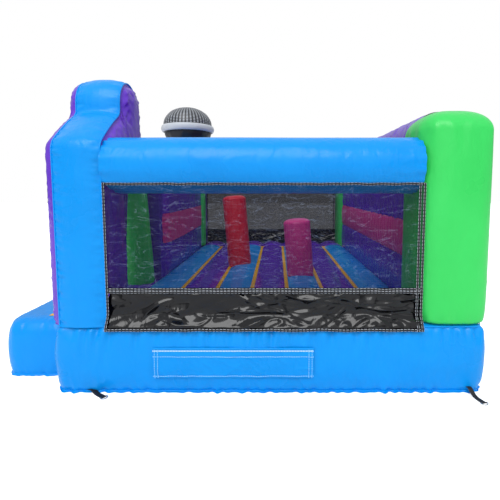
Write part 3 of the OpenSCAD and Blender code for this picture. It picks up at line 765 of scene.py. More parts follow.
@dataclass
class FrontWall:
    """The front wall: purple faces and a blue gusset round their outline, with an arch by the door."""
    front: float
    back: float
    near: float
    far: float
    base_z: float
    ridge_z: float
    shoulder_z: float
    arch_y: float
    arch_r: float
    arch_top: float
    door_y0: float
    door_y1: float
    door_z: float
    bulge: float = 0.075
    post_width: float = 0.38
    outer_seed: int = 23
    inner_seed: int = 27
    outline: Array = field(init=False)

    def __post_init__(self) -> None:
        """Works out the wall's outline."""
        a = np.radians(np.linspace(180, 0, 28))
        centre_z = self.arch_top - self.arch_r
        arch = np.stack([self.arch_y + self.arch_r * np.cos(a), centre_z + self.arch_r * np.sin(a)], 1)
        z0 = spread(self.base_z, self.shoulder_z, step=0.02)
        left = np.stack([np.full_like(z0, self.near), z0], 1)
        y = np.linspace(self.near, self.arch_y - self.arch_r, 24)
        rise = self.top_edge(y)
        up = spread(float(rise[-1]), centre_z, step=0.02)
        y2 = spread(self.arch_y + self.arch_r, self.far, step=0.02)
        down = spread(centre_z, float(self.top_edge(y2[:1])[0]), step=0.02)
        z1 = spread(self.shoulder_z, self.base_z, step=0.02)
        self.outline = np.concatenate([
            left[:-1], np.stack([y, rise], 1), np.stack([np.full_like(up, y[-1]), up], 1)[1:-1], arch,
            np.stack([np.full_like(down, y2[0]), down], 1)[1:-1], np.stack([y2, self.top_edge(y2)], 1),
            np.stack([np.full_like(z1, self.far), z1], 1)[1:]])
        soft = smoothed(self.outline, np.hanning(11)[1:-1])
        soft[0], soft[-1] = self.outline[0], self.outline[-1]
        self.outline = soft

    def top(self, y: Array) -> Array:
        """Height of the softened outline above points along the wall.

        Args:
            y: points along the wall.
        Returns:
            Heights in metres.
        """
        rising = np.maximum.accumulate(self.outline[:, 0]) + 1e-7 * np.arange(len(self.outline))
        first, last = rising.searchsorted(self.near + 2e-4), rising.searchsorted(self.far - 2e-4)
        return np.interp(y, rising[first - 1:last + 1], self.outline[first - 1:last + 1, 1])

    def top_edge(self, y: Array) -> Array:
        """Height of the wall's top away from the arch: a rounded shoulder at each end, and a low middle.

        Args:
            y: points along the wall.
        Returns:
            Heights in metres.
        """
        t = np.clip((y - self.near) / (self.arch_y - self.arch_r - self.near), 0, 1)
        climb = 0.72 * t + 0.28 * np.sin(t * math.pi / 2)
        near = self.shoulder_z + (self.ridge_z + 0.14 - self.shoulder_z) * climb
        f = np.clip((self.far - y) / 0.3, 0, 1)
        far = self.shoulder_z + (self.ridge_z - self.shoulder_z) * np.sin(f * math.pi / 2)
        return np.where(y < self.arch_y, near, far)

    def seam_gap(self, y: Array, z: Array) -> Array:
        """Distance from points of a face to the nearest seam: the outline, or the doorway's edge."""
        post = self.door_y1 + self.post_width
        corners = np.array([[self.near, self.base_z], [self.far, self.base_z], [self.door_y0, self.door_z],
                            [post, self.door_z]])
        ends = np.array([[self.door_y0, self.base_z], [post, self.base_z]])
        start = np.concatenate([self.outline[:-1], corners[[0]], corners[[2]], corners[[2]], corners[[3]]])
        stop = np.concatenate([self.outline[1:], corners[[1]], corners[[3]], ends])
        run = stop - start
        at = np.stack([y, z], -1)[..., None, :] - start
        t = np.clip((at * run).sum(-1) / np.maximum((run ** 2).sum(-1), 1e-12), 0, 1)
        return np.sqrt(((at - t[..., None] * run) ** 2).sum(-1).min(-1))

    def swell(self, y: Array, z: Array, seed: int) -> Array:
        """How far a face stands out: a quarter circle's rise from its seams, with puckers beside them."""
        d = self.seam_gap(y, z)
        inner = seed == self.inner_seed
        if inner:
            d = np.clip(d - 0.03, 0, None)
        rise = self.bulge * quarter(d / 0.17)
        pucker = ripple(y, z, seed, 0.07, 3.0) * np.exp(-d / 0.07) * np.clip(d / 0.02, 0, 1)
        fold = creases(y, z, seed + 1, (self.near, self.base_z, self.far, self.ridge_z), 70, 0.5, 0.014, 0.5,
                       1.2)
        slim = 1 - 0.65 * np.clip(y / 1.5, 0, 1) if inner else 1.0
        gather = 0.011 if inner else 0.004
        return (rise + gather * pucker + 0.007 * fold * np.clip(d / 0.08, 0, 1)) * slim

    def face(self, name: str, way: int, seed: int) -> bpy.types.Object:
        """One face of the wall, with the doorway left open.

        Args:
            name: the piece's name.
            way: -1 for the front face, 1 for the back.
            seed: which wrinkles.
        Returns:
            The face.
        """
        eps = 1e-4
        a0, a1 = self.arch_y - self.arch_r, self.arch_y + self.arch_r
        swing = a0 + (a1 - a0) * (0.5 - 0.5 * np.cos(np.linspace(0, math.pi, 36)))
        swing = np.sort(np.concatenate([swing[1:-1],
                                        [a0 + eps, self.door_y0 - eps, self.door_y0 + eps, a1 - eps]]))
        post = self.door_y1 + self.post_width
        y = np.concatenate([spread(self.near, a0 - eps, step=0.02), swing,
                            spread(a1 + eps, post - eps, step=0.02),
                            spread(post + eps, self.far, step=0.025)])
        low = np.where((y > self.door_y0) & (y < post), self.door_z, self.base_z)
        top = self.top(y)
        v = 0.5 - 0.5 * np.cos(np.linspace(0, math.pi, 84))
        z = low[:, None] + (top - low)[:, None] * v
        yy = np.broadcast_to(y[:, None], z.shape)
        swell = self.swell(yy, z, seed)
        x = self.front - 1.5 * swell if way < 0 else self.back + swell
        return skin(name, np.stack([x, yy, z], 2), Finish.PURPLE, facing=(way, 0, 0))

    def gusset(self) -> bpy.types.Object:
        """The blue gusset: the outline carried from the front seam to the back, crowned between them."""
        path = self.outline
        run = np.gradient(path, axis=0)
        normal = np.stack([-run[:, 1], run[:, 0]], 1)
        normal /= np.linalg.norm(normal, axis=1, keepdims=True)
        normal = smoothed(normal, np.ones(7))
        s = along_path(path)
        v = np.linspace(0, 1, 40)
        crown = 0.035 * (1 - np.abs(2 * v - 1) ** 2.3)
        side = np.exp(-np.minimum(v, 1 - v) * (self.back - self.front) / 0.05)
        hem = np.clip(np.minimum(v, 1 - v) / 0.06, 0, 1)
        push = (crown[None] + 0.012 * ripple(s[:, None], v[None] * 0.4, 21, 0.075, 0.2) * side * hem
                + 0.004 * creases(s[:, None], v[None] * 0.42, 22, (0, 0, float(s[-1]), 0.42), 110, 0.3, 0.012,
                                  0.6, 1.0)
                * (1 - side))
        yz = path[:, None] + normal[:, None] * push[..., None]
        x = np.broadcast_to(self.front + (self.back - self.front) * v, push.shape)
        return skin("front_wall_gusset", np.concatenate([x[..., None], yz], 2), Finish.BLUE,
                    inside=((self.front + self.back) / 2, 0, 1.2))

    def doorway(self) -> bpy.types.Object:
        """The purple lining of the doorway: its jamb and the underside of the arch."""
        z = spread(self.base_z, self.door_z, step=0.03)
        y = spread(self.door_y0, self.door_y1 + self.post_width, step=0.03)
        path = np.concatenate([np.stack([np.full_like(z, self.door_y0), z], 1),
                               np.stack([y, np.full_like(y, self.door_z)], 1)[1:]])
        v = np.linspace(0, 1, 16)
        s = along_path(path)
        sag = 0.02 * (1 - (2 * v - 1) ** 2) + 0.003 * ripple(s[:, None], v[None], 25, 0.1)
        corner = float(z[-1] - z[0])
        toward = np.where((s < corner)[:, None], [[1.0, 0.0]], [[0.0, -1.0]])
        yz = path[:, None] + toward[:, None] * sag[..., None]
        x = np.broadcast_to(self.front + (self.back - self.front) * v, sag.shape)
        return skin("doorway_lining", np.concatenate([x[..., None], yz], 2), Finish.PURPLE,
                    inside=(-1.58, -2.2, 2.0))

    def band(self, low: float, high: float, y0: float, y1: float) -> bpy.types.Object:
        """The magenta panel sewn on the wall's inner face."""
        y, z = grid(spread(y0, y1, step=0.025), spread(low, high, step=0.02))
        x = self.back + self.swell(y, z, self.inner_seed) + 0.007 + 0.003 * ripple(y, z, 28, 0.1)
        return skin("front_wall_band", np.stack([x, y, z], 2), Finish.MAGENTA, facing=(1, 0, 0))

    def build(self) -> None:
        """Makes the faces, the gusset, the doorway's lining and the band."""
        dress(self.gusset(), CASTLE, "pvc_blue", air=True)
        dress(self.face("front_wall_outer_face", -1, self.outer_seed), CASTLE, "pvc_purple", "facade_jamb",
              "facade_arch", air=True)
        dress(self.face("front_wall_inner_face", 1, self.inner_seed), CASTLE, "pvc_purple", "facade_wall",
              air=True)
        dress(self.doorway(), CASTLE, "pvc_purple")
        low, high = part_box("front_inner_band")
        dress(self.band(low.z, high.z, low.y, high.y), CASTLE, "pvc_magenta", "front_inner_band")
        low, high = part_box("entrance_lining")
        z, x = grid(spread(low.z, high.z, step=0.03), spread(low.x, high.x, step=0.03))
        y = low.y + 0.003 * ripple(z, x, 29, 0.12)
        dress(skin("post_backing", np.stack([x, y, z], 2), Finish.PURPLE, facing=(0, -1, 0)),
              CASTLE, "pvc_purple", "entrance_lining")
        low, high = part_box("entrance_threshold")
        gx, gy = grid(spread(low.x, high.x, step=0.02), spread(low.y, high.y, step=0.02))
        u, w = (gx - low.x) / (high.x - low.x), (gy - low.y) / (high.y - low.y)
        rise = 0.028 * (4 * u * (1 - u)) ** 0.5 * (4 * w * (1 - w)) ** 0.4
        gz = low.z + 0.004 + rise + 0.002 * ripple(gx, gy, 30, 0.1)
        dress(skin("door_threshold", np.stack([gx, gy, gz], 2), Finish.PURPLE, facing=(0, 0, 1)),
              CASTLE, "pvc_purple", "entrance_threshold")
        piping = []
        for k, x in enumerate((self.front - 0.002, self.back + 0.002)):
            line = np.column_stack([np.full(len(self.outline), x), self.outline])
            piping.append(self.pipe(f"pipe_{k}", line, 0.007))
        dress(join("front_wall_piping", piping), CASTLE, "pvc_blue")

    def pipe(self, name: str, line: Array, r: float) -> bpy.types.Object:
        """A thin round seam: a circle of radius r in the plane across the line, carried along it."""
        run = np.gradient(line, axis=0)
        run /= np.linalg.norm(run, axis=1, keepdims=True)
        first = np.broadcast_to([1.0, 0, 0], run.shape)
        second = np.cross(run, first)
        a = np.linspace(0, 2 * math.pi, 8, endpoint=False)
        ring = first[:, None] * np.cos(a)[:, None] + second[:, None] * np.sin(a)[:, None]
        return skin(name, line[:, None] + r * ring, Finish.BLUE, inside=tuple(line.mean(0)),
                    wrap=(False, True))


# ---- round posts ----

@dataclass
class RoundPost:
    """An upright inflated post: pinched at its lower seam, full above it, and rounded at the top."""
    name: str
    centre: tuple[float, float]
    r: float
    low: float
    high: float
    dome: float
    finish: Finish
    seed: int
    pinch: float = 0.05
    square: float = 2.0
    lean: float = 0.0

    def outline(self) -> tuple[Array, Array]:
        """Radii and heights from the lower pole to the upper one."""
        z = spread(self.low, self.high - self.dome, step=0.02)
        r = self.r * (1 - self.pinch * np.exp(-(z - self.low) / 0.05))
        a = np.radians(np.linspace(4, 90, 22))
        r = np.concatenate([[0.0, r[0] * 0.7], r, self.r * np.cos(a) ** 0.8])
        r[-1] = 0.0
        z = np.concatenate([[self.low, self.low], z, self.high - self.dome + self.dome * np.sin(a)])
        return r, z

    def wrinkle(self, arc: Array, s: Array) -> Array:
        """Upright folds that fade away from the seams, and a few long ones."""
        start = self.r * 0.95
        seam = start + (self.high - self.dome - self.low)
        near = np.exp(-np.abs(s - start) / 0.09) + 0.8 * np.exp(-np.abs(s - seam) / 0.07)
        whole = 2 * math.pi * self.r
        lobe = np.cos(arc * 2 * math.pi / whole * 14 + 0.8 * np.sin(arc * 2 * math.pi / whole * 3))
        long = creases(arc, s, self.seed, (0, 0, whole, float(np.max(s))), 26, 0.5, 0.012, 1.4, 0.5)
        ends = np.clip(np.minimum(arc, whole - arc) / 0.08, 0, 1)
        return (self.r * 0.022 * lobe * near + 0.005 * long * ends) * np.clip(np.abs(s - start) / 0.012, 0, 1)

    def make(self) -> bpy.types.Object:
        """Makes the post's skin."""
        r, z = self.outline()
        obj = turned(self.name, self.centre, r, z, self.finish, self.wrinkle, square=self.square)
        reshape(obj, lambda p: p + np.outer(self.lean * (p[:, 2] - self.low), (1.0, 0.0, 0.0)))
        return obj


@dataclass
class RearWall:
    """The rear wall: courses pinched at their seams, under a round ridge, between two green columns."""
    x0: float
    x1: float
    half_y: float
    base_z: float
    low_z: float
    high_z: float
    top_z: float

    def line(self, t0: float, t1: float, inner: bool) -> tuple[Array, Array]:
        """The wall's outline from height t0 to t1 on its inner or outer face."""
        z = spread(t0, t1, step=0.02)
        u = (z - t0) / (t1 - t0)
        puff = 0.022 * np.sin(math.pi * u) ** 0.6
        return (self.x0 - puff if inner else self.x1 + puff), z

    def sheet(self, name: str, x: Array, z: Array, finish: Finish, seed: int, rough: float,
              inside: tuple[float, float, float]) -> bpy.types.Object:
        """An outline in X and Z carried along Y, with puckers that run round it."""
        y = spread(-self.half_y, self.half_y, step=0.018)
        s = along_path(np.stack([x, z], 1))
        run = np.gradient(np.stack([x, z], 1), axis=0)
        normal = np.stack([run[:, 1], -run[:, 0]], 1)
        normal /= np.linalg.norm(normal, axis=1, keepdims=True)
        if ((x - inside[0]) * normal[:, 0] + (z - inside[2]) * normal[:, 1]).sum() < 0:
            normal = -normal
        edge = np.minimum(s, s[-1] - s)
        push = (rough * ripple(y[:, None], s[None], seed, 0.13, 0.3) * (0.35 + np.exp(-edge / 0.08))[None]
                + 1.3 * rough * creases(y[:, None], s[None], seed + 1,
                                        (-self.half_y, 0, self.half_y, float(s[-1])),
                                        90, 0.45, 0.012, 1.2, 0.6))
        arch = 0.012 * (1 - (y / self.half_y) ** 2)[:, None] * np.clip((z - self.high_z) / 0.6, 0, 1)[None]
        px = x[None] + normal[:, 0] * push
        pz = z[None] + normal[:, 1] * push + arch
        return skin(name, np.stack([px, np.broadcast_to(y[:, None], px.shape), pz], 2), finish, inside=inside)

    def build(self) -> None:
        """Makes the courses and the ridge."""
        mid = (self.x0 + self.x1) / 2
        for name, a, b, finish, slot, node, seed in (
                ("rear_wall_lower_course", self.base_z, self.low_z, Finish.PURPLE, "pvc_purple",
                 "rear_wall_lower", 41),
                ("rear_wall_middle_course", self.low_z, self.high_z, Finish.MAGENTA, "pvc_magenta",
                 "rear_wall_band", 45)):
            faces = [self.sheet(f"{name}_{k}", *self.line(a, b, k == 0), finish, seed + k, 0.003,
                                (mid, 0, (a + b) / 2))
                     for k in (0, 1)]
            dress(join(name, faces), CASTLE, slot, node, air=True)
        r = (self.x1 - self.x0) / 2 + 0.012
        a = np.radians(np.linspace(180, 0, 44))
        up_x, up_z = self.line(self.high_z, self.top_z - r, True)
        down_x, down_z = self.line(self.high_z, self.top_z - r, False)
        x = np.concatenate([up_x[:-3], mid + r * np.cos(a), down_x[:-3][::-1]])
        z = np.concatenate([up_z[:-3], self.top_z - r + r * np.sin(a), down_z[:-3][::-1]])
        dress(self.sheet("rear_wall_ridge_course", x, z, Finish.PURPLE, 49, 0.009, (mid, 0, 1.9)),
              CASTLE, "pvc_purple", "rear_wall_upper", air=True)


@dataclass
class SideWindow:
    """One side: a blue beam above a stretched net and a slack black panel, bound with stitched webbing."""
    side: int
    name: str
    x0: float
    x1: float
    net_y: float
    net_z0: float
    net_z1: float
    band_z0: float
    beam_y: float
    beam_z: float
    beam_r: float
    beam_x1: float

    def beam(self) -> bpy.types.Object:
        """The beam: a tube along X that narrows at its two end seams, with folds running out of them."""
        x = spread(self.x0 - 0.004, self.beam_x1, step=0.016)
        a = np.linspace(0, 2 * math.pi, 88, endpoint=False)
        d = np.minimum(x - self.x0 + 0.004, np.abs(self.beam_x1 - x))
        arc = a * self.beam_r
        ends = np.exp(-d / 0.1)
        lobes = np.cos(a * 17 + 1.1 * np.sin(3 * a))
        fold = creases(x[:, None], arc[None], 60 + self.side, (self.x0, 0, self.x1, 1.5), 60, 0.5, 0.012,
                       0.25, 0.5)
        fold *= np.clip(np.minimum(arc, 2 * math.pi * self.beam_r - arc) / 0.06, 0, 1)[None]
        r = (self.beam_r * (1 - 0.015 * np.exp(-d / 0.03))[:, None] + 0.006 * lobes[None] * ends[:, None]
             + 0.003 * fold + 0.002 * np.sin(2 * a + 0.4)[None] * np.sin(x * 3)[:, None])
        y = self.side * self.beam_y + r * np.cos(a)[None]
        z = self.beam_z + r * np.sin(a)[None]
        gx = np.broadcast_to(x[:, None], r.shape)
        return skin(f"top_beam_{self.name}_skin", np.stack([gx, y, z], 2), Finish.BLUE,
                    inside=(0, self.side * self.beam_y, self.beam_z), wrap=(False, True))

    def sheet(self, name: str, z: Array, finish: Finish, bow: Callable[[Array, Array], Array],
              lift: float) -> bpy.types.Object:
        """A flat sheet in the window's plane, which bow moves in and out."""
        x = spread(self.x0, self.x1, step=0.011)
        gx, gz = grid(x, z)
        y = self.side * (self.net_y + lift + bow(gx, gz))
        return skin(name, np.stack([gx, y, gz], 2), finish, facing=(0, self.side, 0),
                    span=(float(x[-1] - x[0]), float(z[-1] - z[0])))

    def net_bow(self, x: Array, z: Array) -> Array:
        """The net's slack: long shallow folds, flat at its edges."""
        edge = np.clip(np.minimum(np.minimum(x - self.x0, self.x1 - x),
                                  np.minimum(z - self.net_z0, self.net_z1 - z)) / 0.07, 0, 1)
        fold = creases(x, z, 71 + self.side, (self.x0, self.net_z0, self.x1, self.net_z1), 70, 0.7, 0.02,
                       0.45, 0.5)
        return edge * (0.009 * fold + 0.004 * ripple(x, z, 72, 0.5, 1.0))

    def band_bow(self, x: Array, z: Array) -> Array:
        """The panel's crumples: many sharp folds, mostly lengthwise, over broad waves."""
        edge = np.clip(np.minimum(z - self.band_z0, self.net_z0 - z) / 0.05, 0.12, 1)
        box = (self.x0, self.band_z0, self.x1, self.net_z0)
        flat = creases(x, z, 81 + self.side, box, 46, 0.6, 0.034, -0.05, 0.3)
        cross = creases(x, z, 91 + self.side, box, 40, 0.25, 0.022, 0.5, 0.8)
        hang = 0.062 * np.clip((self.band_z0 + 0.13 - z) / 0.1, 0, 1) ** 1.3
        folds = 0.034 * flat + 0.017 * cross + 0.01 * ripple(x, 3 * z, 92, 0.3, 0.5)
        return edge * np.where(hang > 0.01, np.abs(folds), folds) - 0.012 + hang

    def build(self) -> None:
        """Makes the beam, net, panel and binding."""
        n = self.name
        dress(self.beam(), CASTLE, "pvc_blue", f"top_beam_{n}", air=True)
        # The far side's net is drawn darker than the near one: painted shade.
        net = self.sheet(f"window_{n}_mesh", spread(self.net_z0, self.net_z1, step=0.012),
                         Finish.NET if self.side < 0 else Finish.FAR_NET_PAINTED_SHADE, self.net_bow, 0.0)
        dress(net, CASTLE, "net", f"window_net_{n}")
        band = self.sheet(f"window_{n}_panel", spread(self.band_z0, self.net_z0 + 0.01, step=0.007),
                          Finish.BLACK,
                          self.band_bow, 0.004)
        dress(band, CASTLE, "pvc_black", f"window_band_{n}")
        y, out = self.side * (self.net_y + 0.004), (0.0, float(self.side), 0.0)
        rows = []
        x = spread(self.x0, self.x1, step=0.02)
        for k, z in enumerate((self.net_z0, self.net_z0 - 0.022, self.net_z1 - 0.008, self.band_z0 + 0.01)):
            sway = 0.0022 * ripple(x, x * 0, 95 + k, 0.3)
            line = np.stack([x, np.full_like(x, y + self.side * (0.01, 0.01, 0.0, 0.062)[k]), z + sway], 1)
            rows.append(strap(f"row_{k}", line, out, 0.019, 0.003, Finish.BINDING))
        for k, (x, low) in enumerate(((self.x0 + 0.012, self.band_z0), (self.x1 - 0.012, self.band_z0),
                                      (self.x1 - 0.05, self.band_z0))):
            z = spread(low, self.net_z1, step=0.02)
            hang = 0.056 * np.clip((self.band_z0 + 0.13 - z) / 0.1, 0, 1) ** 1.3
            line = np.stack([np.full_like(z, x), y + self.side * (0.012 + hang), z], 1)
            rows.append(strap(f"post_{k}", line, out, 0.018, 0.003, Finish.BINDING))
        binding = join(f"window_{n}_binding", rows)
        dress(binding, CASTLE, "webbing", f"window_binding_{n}")


# ---- posts that sway ----

@dataclass
class BashPost:
    """A soft post that leans a little, on a sewn foot."""
    colour: str
    finish: Finish
    slot: str
    pivot: tuple[float, float, float]
    r: float
    top: float
    lean: float
    seed: int

    def build(self) -> None:
        """Makes the post's skin, leans it and moves it to its pivot, and hides the CAD post and foot."""
        low = -self.r - 0.06
        z = spread(low, self.top - self.r * 0.34, step=0.015)
        b = np.radians(np.linspace(4, 90, 18))
        side = self.r * (1 - 0.03 * np.exp(-(z - low - 0.05) / 0.03).clip(0, 1))
        r = np.concatenate([[0.0], side, self.r * np.cos(b) ** 0.6])
        r[-1] = 0.0
        z = np.concatenate([[low], z, self.top - self.r * 0.34 + self.r * 0.34 * np.sin(b)])
        whole = 2 * math.pi * self.r

        def wrinkle(arc: Array, s: Array) -> Array:
            """Upright folds above the foot seam and below the top seam, and a few slanted ones."""
            foot = np.exp(-np.abs(s - self.r - 0.08) / 0.05)
            near = foot + np.exp(-np.abs(s - self.r + low - self.top + 0.05) / 0.04)
            ends = np.clip(np.minimum(arc, whole - arc) / 0.06, 0, 1)
            slant = creases(arc, s, self.seed, (0, 0, whole, self.top + self.r), 20, 0.2, 0.01, 0.8, 0.8)
            return 0.004 * np.cos(arc / self.r * 13) * near + 0.003 * slant * ends

        obj = turned(f"{self.colour}_post_skin", (0.0, 0.0), r, z, self.finish, wrinkle, 72)
        self.place(obj)
        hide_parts(f"bash_post_{self.colour}", f"post_foot_{self.colour}")
        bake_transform(obj)
        log.info("%s bends from %s", obj.name, CASTLE)

    def place(self, obj: bpy.types.Object) -> None:
        """Leans a piece about Y and moves it to the post's pivot, in its mesh."""
        c, s = math.cos(-self.lean), math.sin(-self.lean)
        turn = np.array([[c, 0.0, -s], [0.0, 1.0, 0.0], [s, 0.0, c]])
        reshape(obj, lambda p: p @ turn + np.array(self.pivot))


# ---- microphone ----

@dataclass
class Microphone:
    """The raised figure: a dotted dome over a pale collar, a dark lower head and a tapered handle."""
    centre: tuple[float, float]
    foot_z: float
    split_z: float
    top_z: float
    r: float
    collar_h: float

    def build(self) -> None:
        """Makes the dome, collar and handle."""
        a = np.radians(np.linspace(0, 90, 40))
        wall = spread(0.0, self.collar_h, step=0.015)
        rise = self.top_z - self.split_z - self.collar_h
        r = np.concatenate([[0.0], np.full(len(wall), self.r), self.r * np.cos(a) ** 0.9])
        r[-1] = 0.0
        z = self.split_z + np.concatenate([[0.0], wall, self.collar_h + rise * np.sin(a)])
        dome = turned("microphone_dome", self.centre, r, z, Finish.DOTS,
                      lambda arc, s: 0.003 * ripple(arc, s, 101, 0.3, 3.0) * np.clip(s - 0.2, 0, 0.1) * 10,
                      128)
        dress(dome, CASTLE, "grille_print", "mic_head", air=True)
        b = np.radians(np.linspace(-90, 90, 24))
        swell = 0.04
        ring_r = np.concatenate([[self.r - 0.01], self.r + swell * np.cos(b) ** 0.8, [self.r - 0.01]])
        ring_z = self.split_z + self.collar_h / 2 * (1 + np.concatenate([[-1.0], np.sin(b), [1.0]]))
        whole = 2 * math.pi * self.r

        def gathers(arc: Array, s: Array) -> Array:
            """Forty small gathers round the collar's seam."""
            return 0.003 * np.cos(arc * 2 * math.pi / whole * 40) * np.exp(-np.abs(s - 0.09) / 0.02)

        ring = turned("microphone_collar", self.centre, ring_r, ring_z, Finish.COLLAR, gathers, 128)
        dress(ring, CASTLE, "collar_grey", "mic_collar", air=True)
        h = self.split_z - self.foot_z
        u = np.linspace(0, 1, 30)
        handle_r = 0.2 + 0.036 * u + 0.008 * np.sin(math.pi * u)
        flare = np.linspace(0, 1, 26)
        flare_r = 0.25 + (self.r - 0.27) * np.sin(flare * math.pi / 2) ** 0.75
        r = np.concatenate([[0.0], handle_r, flare_r, [0.0]])
        z = self.foot_z + np.concatenate([[0.0], u * h * 0.5, h * (0.5 + 0.03 + 0.47 * flare), [h]])
        stem = turned("microphone_handle", self.centre, r, z, Finish.HANDLE,
                      lambda arc, s: 0.003 * ripple(arc, s, 103, 0.12, 0.4) * np.clip(s - 0.2, 0, 0.1) * 10)
        dress(stem, CASTLE, "handle_black", "mic_neck", air=True)


# ---- step ----

@dataclass
class Step:
    """The entrance step: a rounded cushion with a yellow panel on top."""
    x0: float
    x1: float
    y0: float
    y1: float
    h: float

    def build(self) -> None:
        """Makes the cushion, its panel and its ground flap."""
        path, normal = round_rect(self.x0 + 0.03, self.x1 + 0.12, self.y0 + 0.03, self.y1 - 0.03, 0.13, 0.016)
        s = along_path(path)
        t = np.linspace(0, 1, 30)
        off = np.concatenate([[0.02, 0.004], 0.028 * np.sin(math.pi * t) ** 0.6])
        z = np.concatenate([[0.001, 0.006], 0.012 + (self.h - 0.1) * t])
        push = (off[None] + 0.005 * ripple(s[:, None], z[None], 112, 0.09, 0.3) * np.exp(-z / 0.06)[None]
                + 0.004 * ripple(s[:, None], z[None], 113, 0.1, 0.3) * np.exp(-(z[-1] - z) / 0.05)[None])
        side = np.concatenate([path[:, None] + normal[:, None] * push[..., None],
                               np.broadcast_to(z, push.shape)[..., None]], 2)
        k = np.linspace(0, 1, 26)[1:]
        centre = np.array([(self.x0 + self.x1) / 2 + 0.06, (self.y0 + self.y1) / 2])
        rim = side[:, -1, :2]
        flat = rim[:, None] + (centre - rim)[:, None] * k[:, None]
        inset = quarter(k / 0.3)
        over = np.broadcast_to(z[-1] + (self.h - 0.005 - z[-1]) * inset, flat.shape[:2])
        lid = np.concatenate([flat, over[..., None]], 2)
        body = skin("step_cushion", np.concatenate([side, lid], 1), Finish.BLUE,
                    inside=(float(centre[0]), float(centre[1]), 0.2), wrap=(True, False))
        dress(body, CASTLE, "pvc_blue", "entrance_step", air=True)
        low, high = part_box("step_top_panel")
        x, y = grid(spread(low.x, high.x, step=0.02), spread(low.y, high.y, step=0.02))
        u = np.clip(np.minimum(x - low.x, high.x + 0.2 - x) / 0.12, 0, 1)
        w = np.clip(np.minimum(y - low.y, high.y - y) / 0.12, 0, 1)
        crown = 0.012 * np.sqrt(u * (2 - u)) * np.sqrt(w * (2 - w))
        z = self.h - 0.004 + crown + 0.0015 * ripple(x, y, 115, 0.1, 3.0)
        dress(skin("step_panel", np.stack([x, y, z], 2), Finish.YELLOW, facing=(0, 0, 1)),
              CASTLE, "pvc_yellow", "step_top_panel")


# ---- deflation zip ----

@dataclass
class ZipOpening:
    """The deflation zip on the near side, under a stitched flap that lifts."""
    face_y: Callable[[Array], Array]

    def cover(self) -> None:
        """Makes the flap, the welt that it hangs from, and its stitching."""
        low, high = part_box("zip_cover")
        x, z = spread(low.x, high.x, step=0.012), spread(low.z, high.z, step=0.008)
        gx, gz = grid(x, z)
        fold = creases(gx, gz, 121, (low.x, low.z, high.x, high.z), 46, 0.3, 0.008, -0.75, 0.5)
        hang = (high.z - gz) / (high.z - low.z)
        outer = -0.014 - 0.011 * fold * np.clip(hang * 4, 0, 1) - 0.003 * ripple(gx, gz, 122, 0.2, 0.5) * hang
        y = self.face_y(gz) + outer
        flap = skin("zip_flap", np.stack([gx, y, gz], 2), Finish.BLUE, facing=(0, -1, 0))
        dress(flap, "cover", "pvc_blue", "zip_cover")
        out = (0.0, -1.0, 0.0)
        seams = []

        def on_flap(line_x: Array, line_z: Array) -> Array:
            """Points just outside the flap's face: the nearest grid point's depth, and 2 mm more."""
            i = np.clip(np.searchsorted(x, line_x), 0, len(x) - 1)
            j = np.clip(np.searchsorted(z, line_z), 0, len(z) - 1)
            return np.stack([line_x, y[i, j] - 0.0015, line_z], 1)

        for k, height in enumerate((high.z - 0.012, high.z - 0.06, low.z + 0.016)):
            seams.append(strap(f"stitch_{k}", on_flap(x, np.full_like(x, height)), out,
                               0.009 if k == 0 else 0.006, 0.001,
                               Finish.THREAD if k == 0 else Finish.FINE_THREAD))
        for k, place in enumerate((low.x + 0.014, low.x + 0.04, high.x - 0.04, high.x - 0.014)):
            seams.append(strap(f"edge_{k}", on_flap(np.full_like(z, place), z), out, 0.005, 0.001,
                               Finish.FINE_THREAD))
        dress(join("zip_flap_stitching", seams), "cover", "pvc_blue")
        low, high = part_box("zip_cover_welt")
        line = np.stack([x, np.full_like(x, float(self.face_y(np.array((low.z + high.z) / 2))) - 0.001),
                         np.full_like(x, (low.z + high.z) / 2)], 1)
        dress(strap("zip_flap_welt", line, out, 0.012, 0.014, Finish.BLUE, 0.003), CASTLE, "pvc_blue",
              "zip_cover_welt")

    def zip(self) -> None:
        """Makes the zip's tape."""
        low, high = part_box("zip_tape")
        x = spread(low.x, high.x, step=0.02)
        middle = (low.z + high.z) / 2
        line = np.stack([x, np.full_like(x, float(self.face_y(np.array(middle)))), np.full_like(x, middle)],
                        1)
        dress(strap("zip_tape_strip", line, (0, -1, 0), high.z - low.z, 0.001, Finish.ZIP, 0.001),
              CASTLE, "zip_tape", "zip_tape")

    def build(self) -> None:
        """Makes the cover and the zip."""
        self.cover()
        self.zip()


# ---- air and anchors ----

